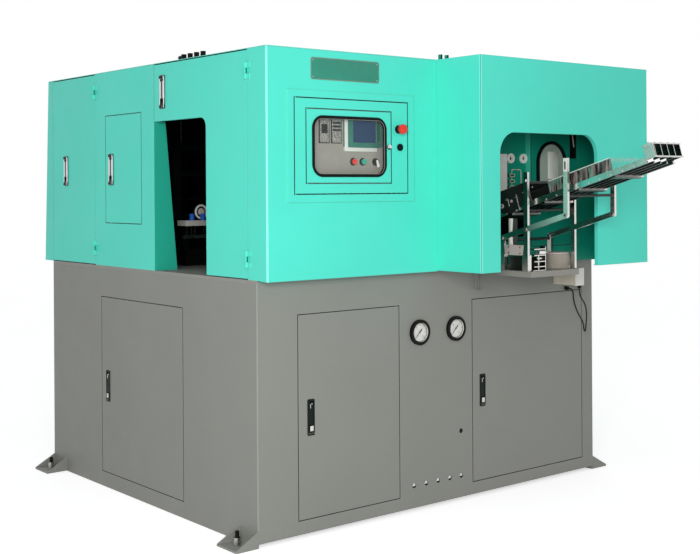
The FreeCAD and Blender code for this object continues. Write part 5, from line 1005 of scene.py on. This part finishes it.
name_plate()
for door, lever in BASE_DOORS + GUARD_DOORS:
    lock_trim(door, lever, (door, lever) in GUARD_DOORS)
for side, x in GAUGE_X.items():
    gauge_trim(side, x)
instrument_trim()
niche_trim()
loader_trim()
clamp_trim()


# ---- stage, lights and camera ------------------------------------------------------------------------
FLOOR_HALF = 30.0
FLOOR_LIFT = 0.6
WORLD_LEVEL = 0.43
KEY_AT = (-2620.0, -3600.0, 1900.0)
KEY_AIM = (500.0, 0.0, 1000.0)
KEY_SIZE = 1.5
KEY_POWER = 140.0


def seen_directly(nodes, links):
    """1 where the camera sees a surface by itself, in a gloss or through glass, and 0 elsewhere."""
    path = nodes.new("ShaderNodeLightPath")
    seen = path.outputs["Is Camera Ray"]
    for ray in ("Is Glossy Ray", "Is Transmission Ray"):
        larger = nodes.new("ShaderNodeMath")
        larger.operation = "MAXIMUM"
        links.new(seen, larger.inputs[0])
        links.new(path.outputs[ray], larger.inputs[1])
        seen = larger.outputs[0]
    return seen


def stage():
    """A pale floor that keeps the object's shadow and shows white to the camera."""
    bm = bmesh.new()
    corners = [(-1, -1), (1, -1), (1, 1), (-1, 1)]
    bm.faces.new([bm.verts.new((x * FLOOR_HALF, y * FLOOR_HALF, 0.0)) for x, y in corners])
    f = Finish("studio_floor", rough=0.9)
    slow = f.span(f.noise(1.5, 3.0), 0.3, 0.7, 0.0, 1.0)
    f.finish(f.mix(slow, (0.80, 0.80, 0.80, 1), (0.82, 0.82, 0.82, 1)))
    seen = seen_directly(f.nodes, f.links)
    lift = f.node("ShaderNodeMath", {"operation": "MULTIPLY"}, i0=seen, i1=FLOOR_LIFT).outputs[0]
    glow = f.node("ShaderNodeEmission", Color=(1, 1, 1, 1), Strength=lift).outputs[0]
    both = f.node("ShaderNodeAddShader", i0=f.shader.outputs[0], i1=glow).outputs[0]
    f.links.new(both, f.nodes["Material Output"].inputs["Surface"])
    floor = new_object("studio_floor", bm, [f.mat])


def lights():
    """A world that lights evenly and shows white, and one broad soft lamp at the front left."""
    scene = bpy.context.scene
    world = bpy.data.worlds.new("studio")
    scene.world = world
    world.use_nodes = True
    nodes, links = world.node_tree.nodes, world.node_tree.links
    nodes.clear()
    plain = nodes.new("ShaderNodeBackground")
    plain.inputs["Color"].default_value = (0.98, 0.99, 1.0, 1)
    plain.inputs["Strength"].default_value = WORLD_LEVEL
    white = nodes.new("ShaderNodeBackground")
    white.inputs["Color"].default_value = (1, 1, 1, 1)
    white.inputs["Strength"].default_value = 1.0
    mix = nodes.new("ShaderNodeMixShader")
    links.new(seen_directly(nodes, links), mix.inputs[0])
    links.new(plain.outputs[0], mix.inputs[1])
    links.new(white.outputs[0], mix.inputs[2])
    out = nodes.new("ShaderNodeOutputWorld")
    links.new(mix.outputs[0], out.inputs["Surface"])
    data = bpy.data.lights.new("key", "AREA")
    data.energy = KEY_POWER
    data.size = KEY_SIZE
    lamp = bpy.data.objects.new("key", data)
    scene.collection.objects.link(lamp)
    lamp.location = at(*KEY_AT)
    lamp.visible_glossy = False
    lamp.rotation_mode = "QUATERNION"
    lamp.rotation_quaternion = (at(*KEY_AT) - at(*KEY_AIM)).to_track_quat("Z", "Y")


CAMERA_AT = (-2505.1, -3631.4, 1343.4)
CAMERA_RIGHT = (0.775633, -0.631155, -0.006073)
CAMERA_UP = (0.004710, -0.003833, 0.999982)
CAMERA_AHEAD = (0.631167, 0.775647, 0.0)
FOCAL_PIXELS = 1179.0
FRAME_WIDTH = 700.0
FRAME_HEIGHT = 554.0
HORIZON_ROW = 188.3


def camera():
    """The photograph's view: level, with the picture shifted down from the horizon."""
    data = bpy.data.cameras.new("camera")
    data.sensor_fit = "HORIZONTAL"
    data.sensor_width = 36.0
    data.lens = FOCAL_PIXELS / FRAME_WIDTH * data.sensor_width
    data.shift_y = -(FRAME_HEIGHT / 2 - HORIZON_ROW) / FRAME_WIDTH
    data.clip_start, data.clip_end = 0.1, 200.0
    made = bpy.data.objects.new("camera", data)
    columns = [Vector(CAMERA_RIGHT), Vector(CAMERA_UP), -Vector(CAMERA_AHEAD)]
    turn = Matrix([[c[row] for c in columns] for row in range(3)])
    made.matrix_world = Matrix.Translation(at(*CAMERA_AT)) @ turn.to_4x4()
    bpy.context.scene.collection.objects.link(made)
    bpy.context.scene.camera = made
    bpy.context.scene.view_settings.view_transform = "Standard"


stage()
lights()
camera()
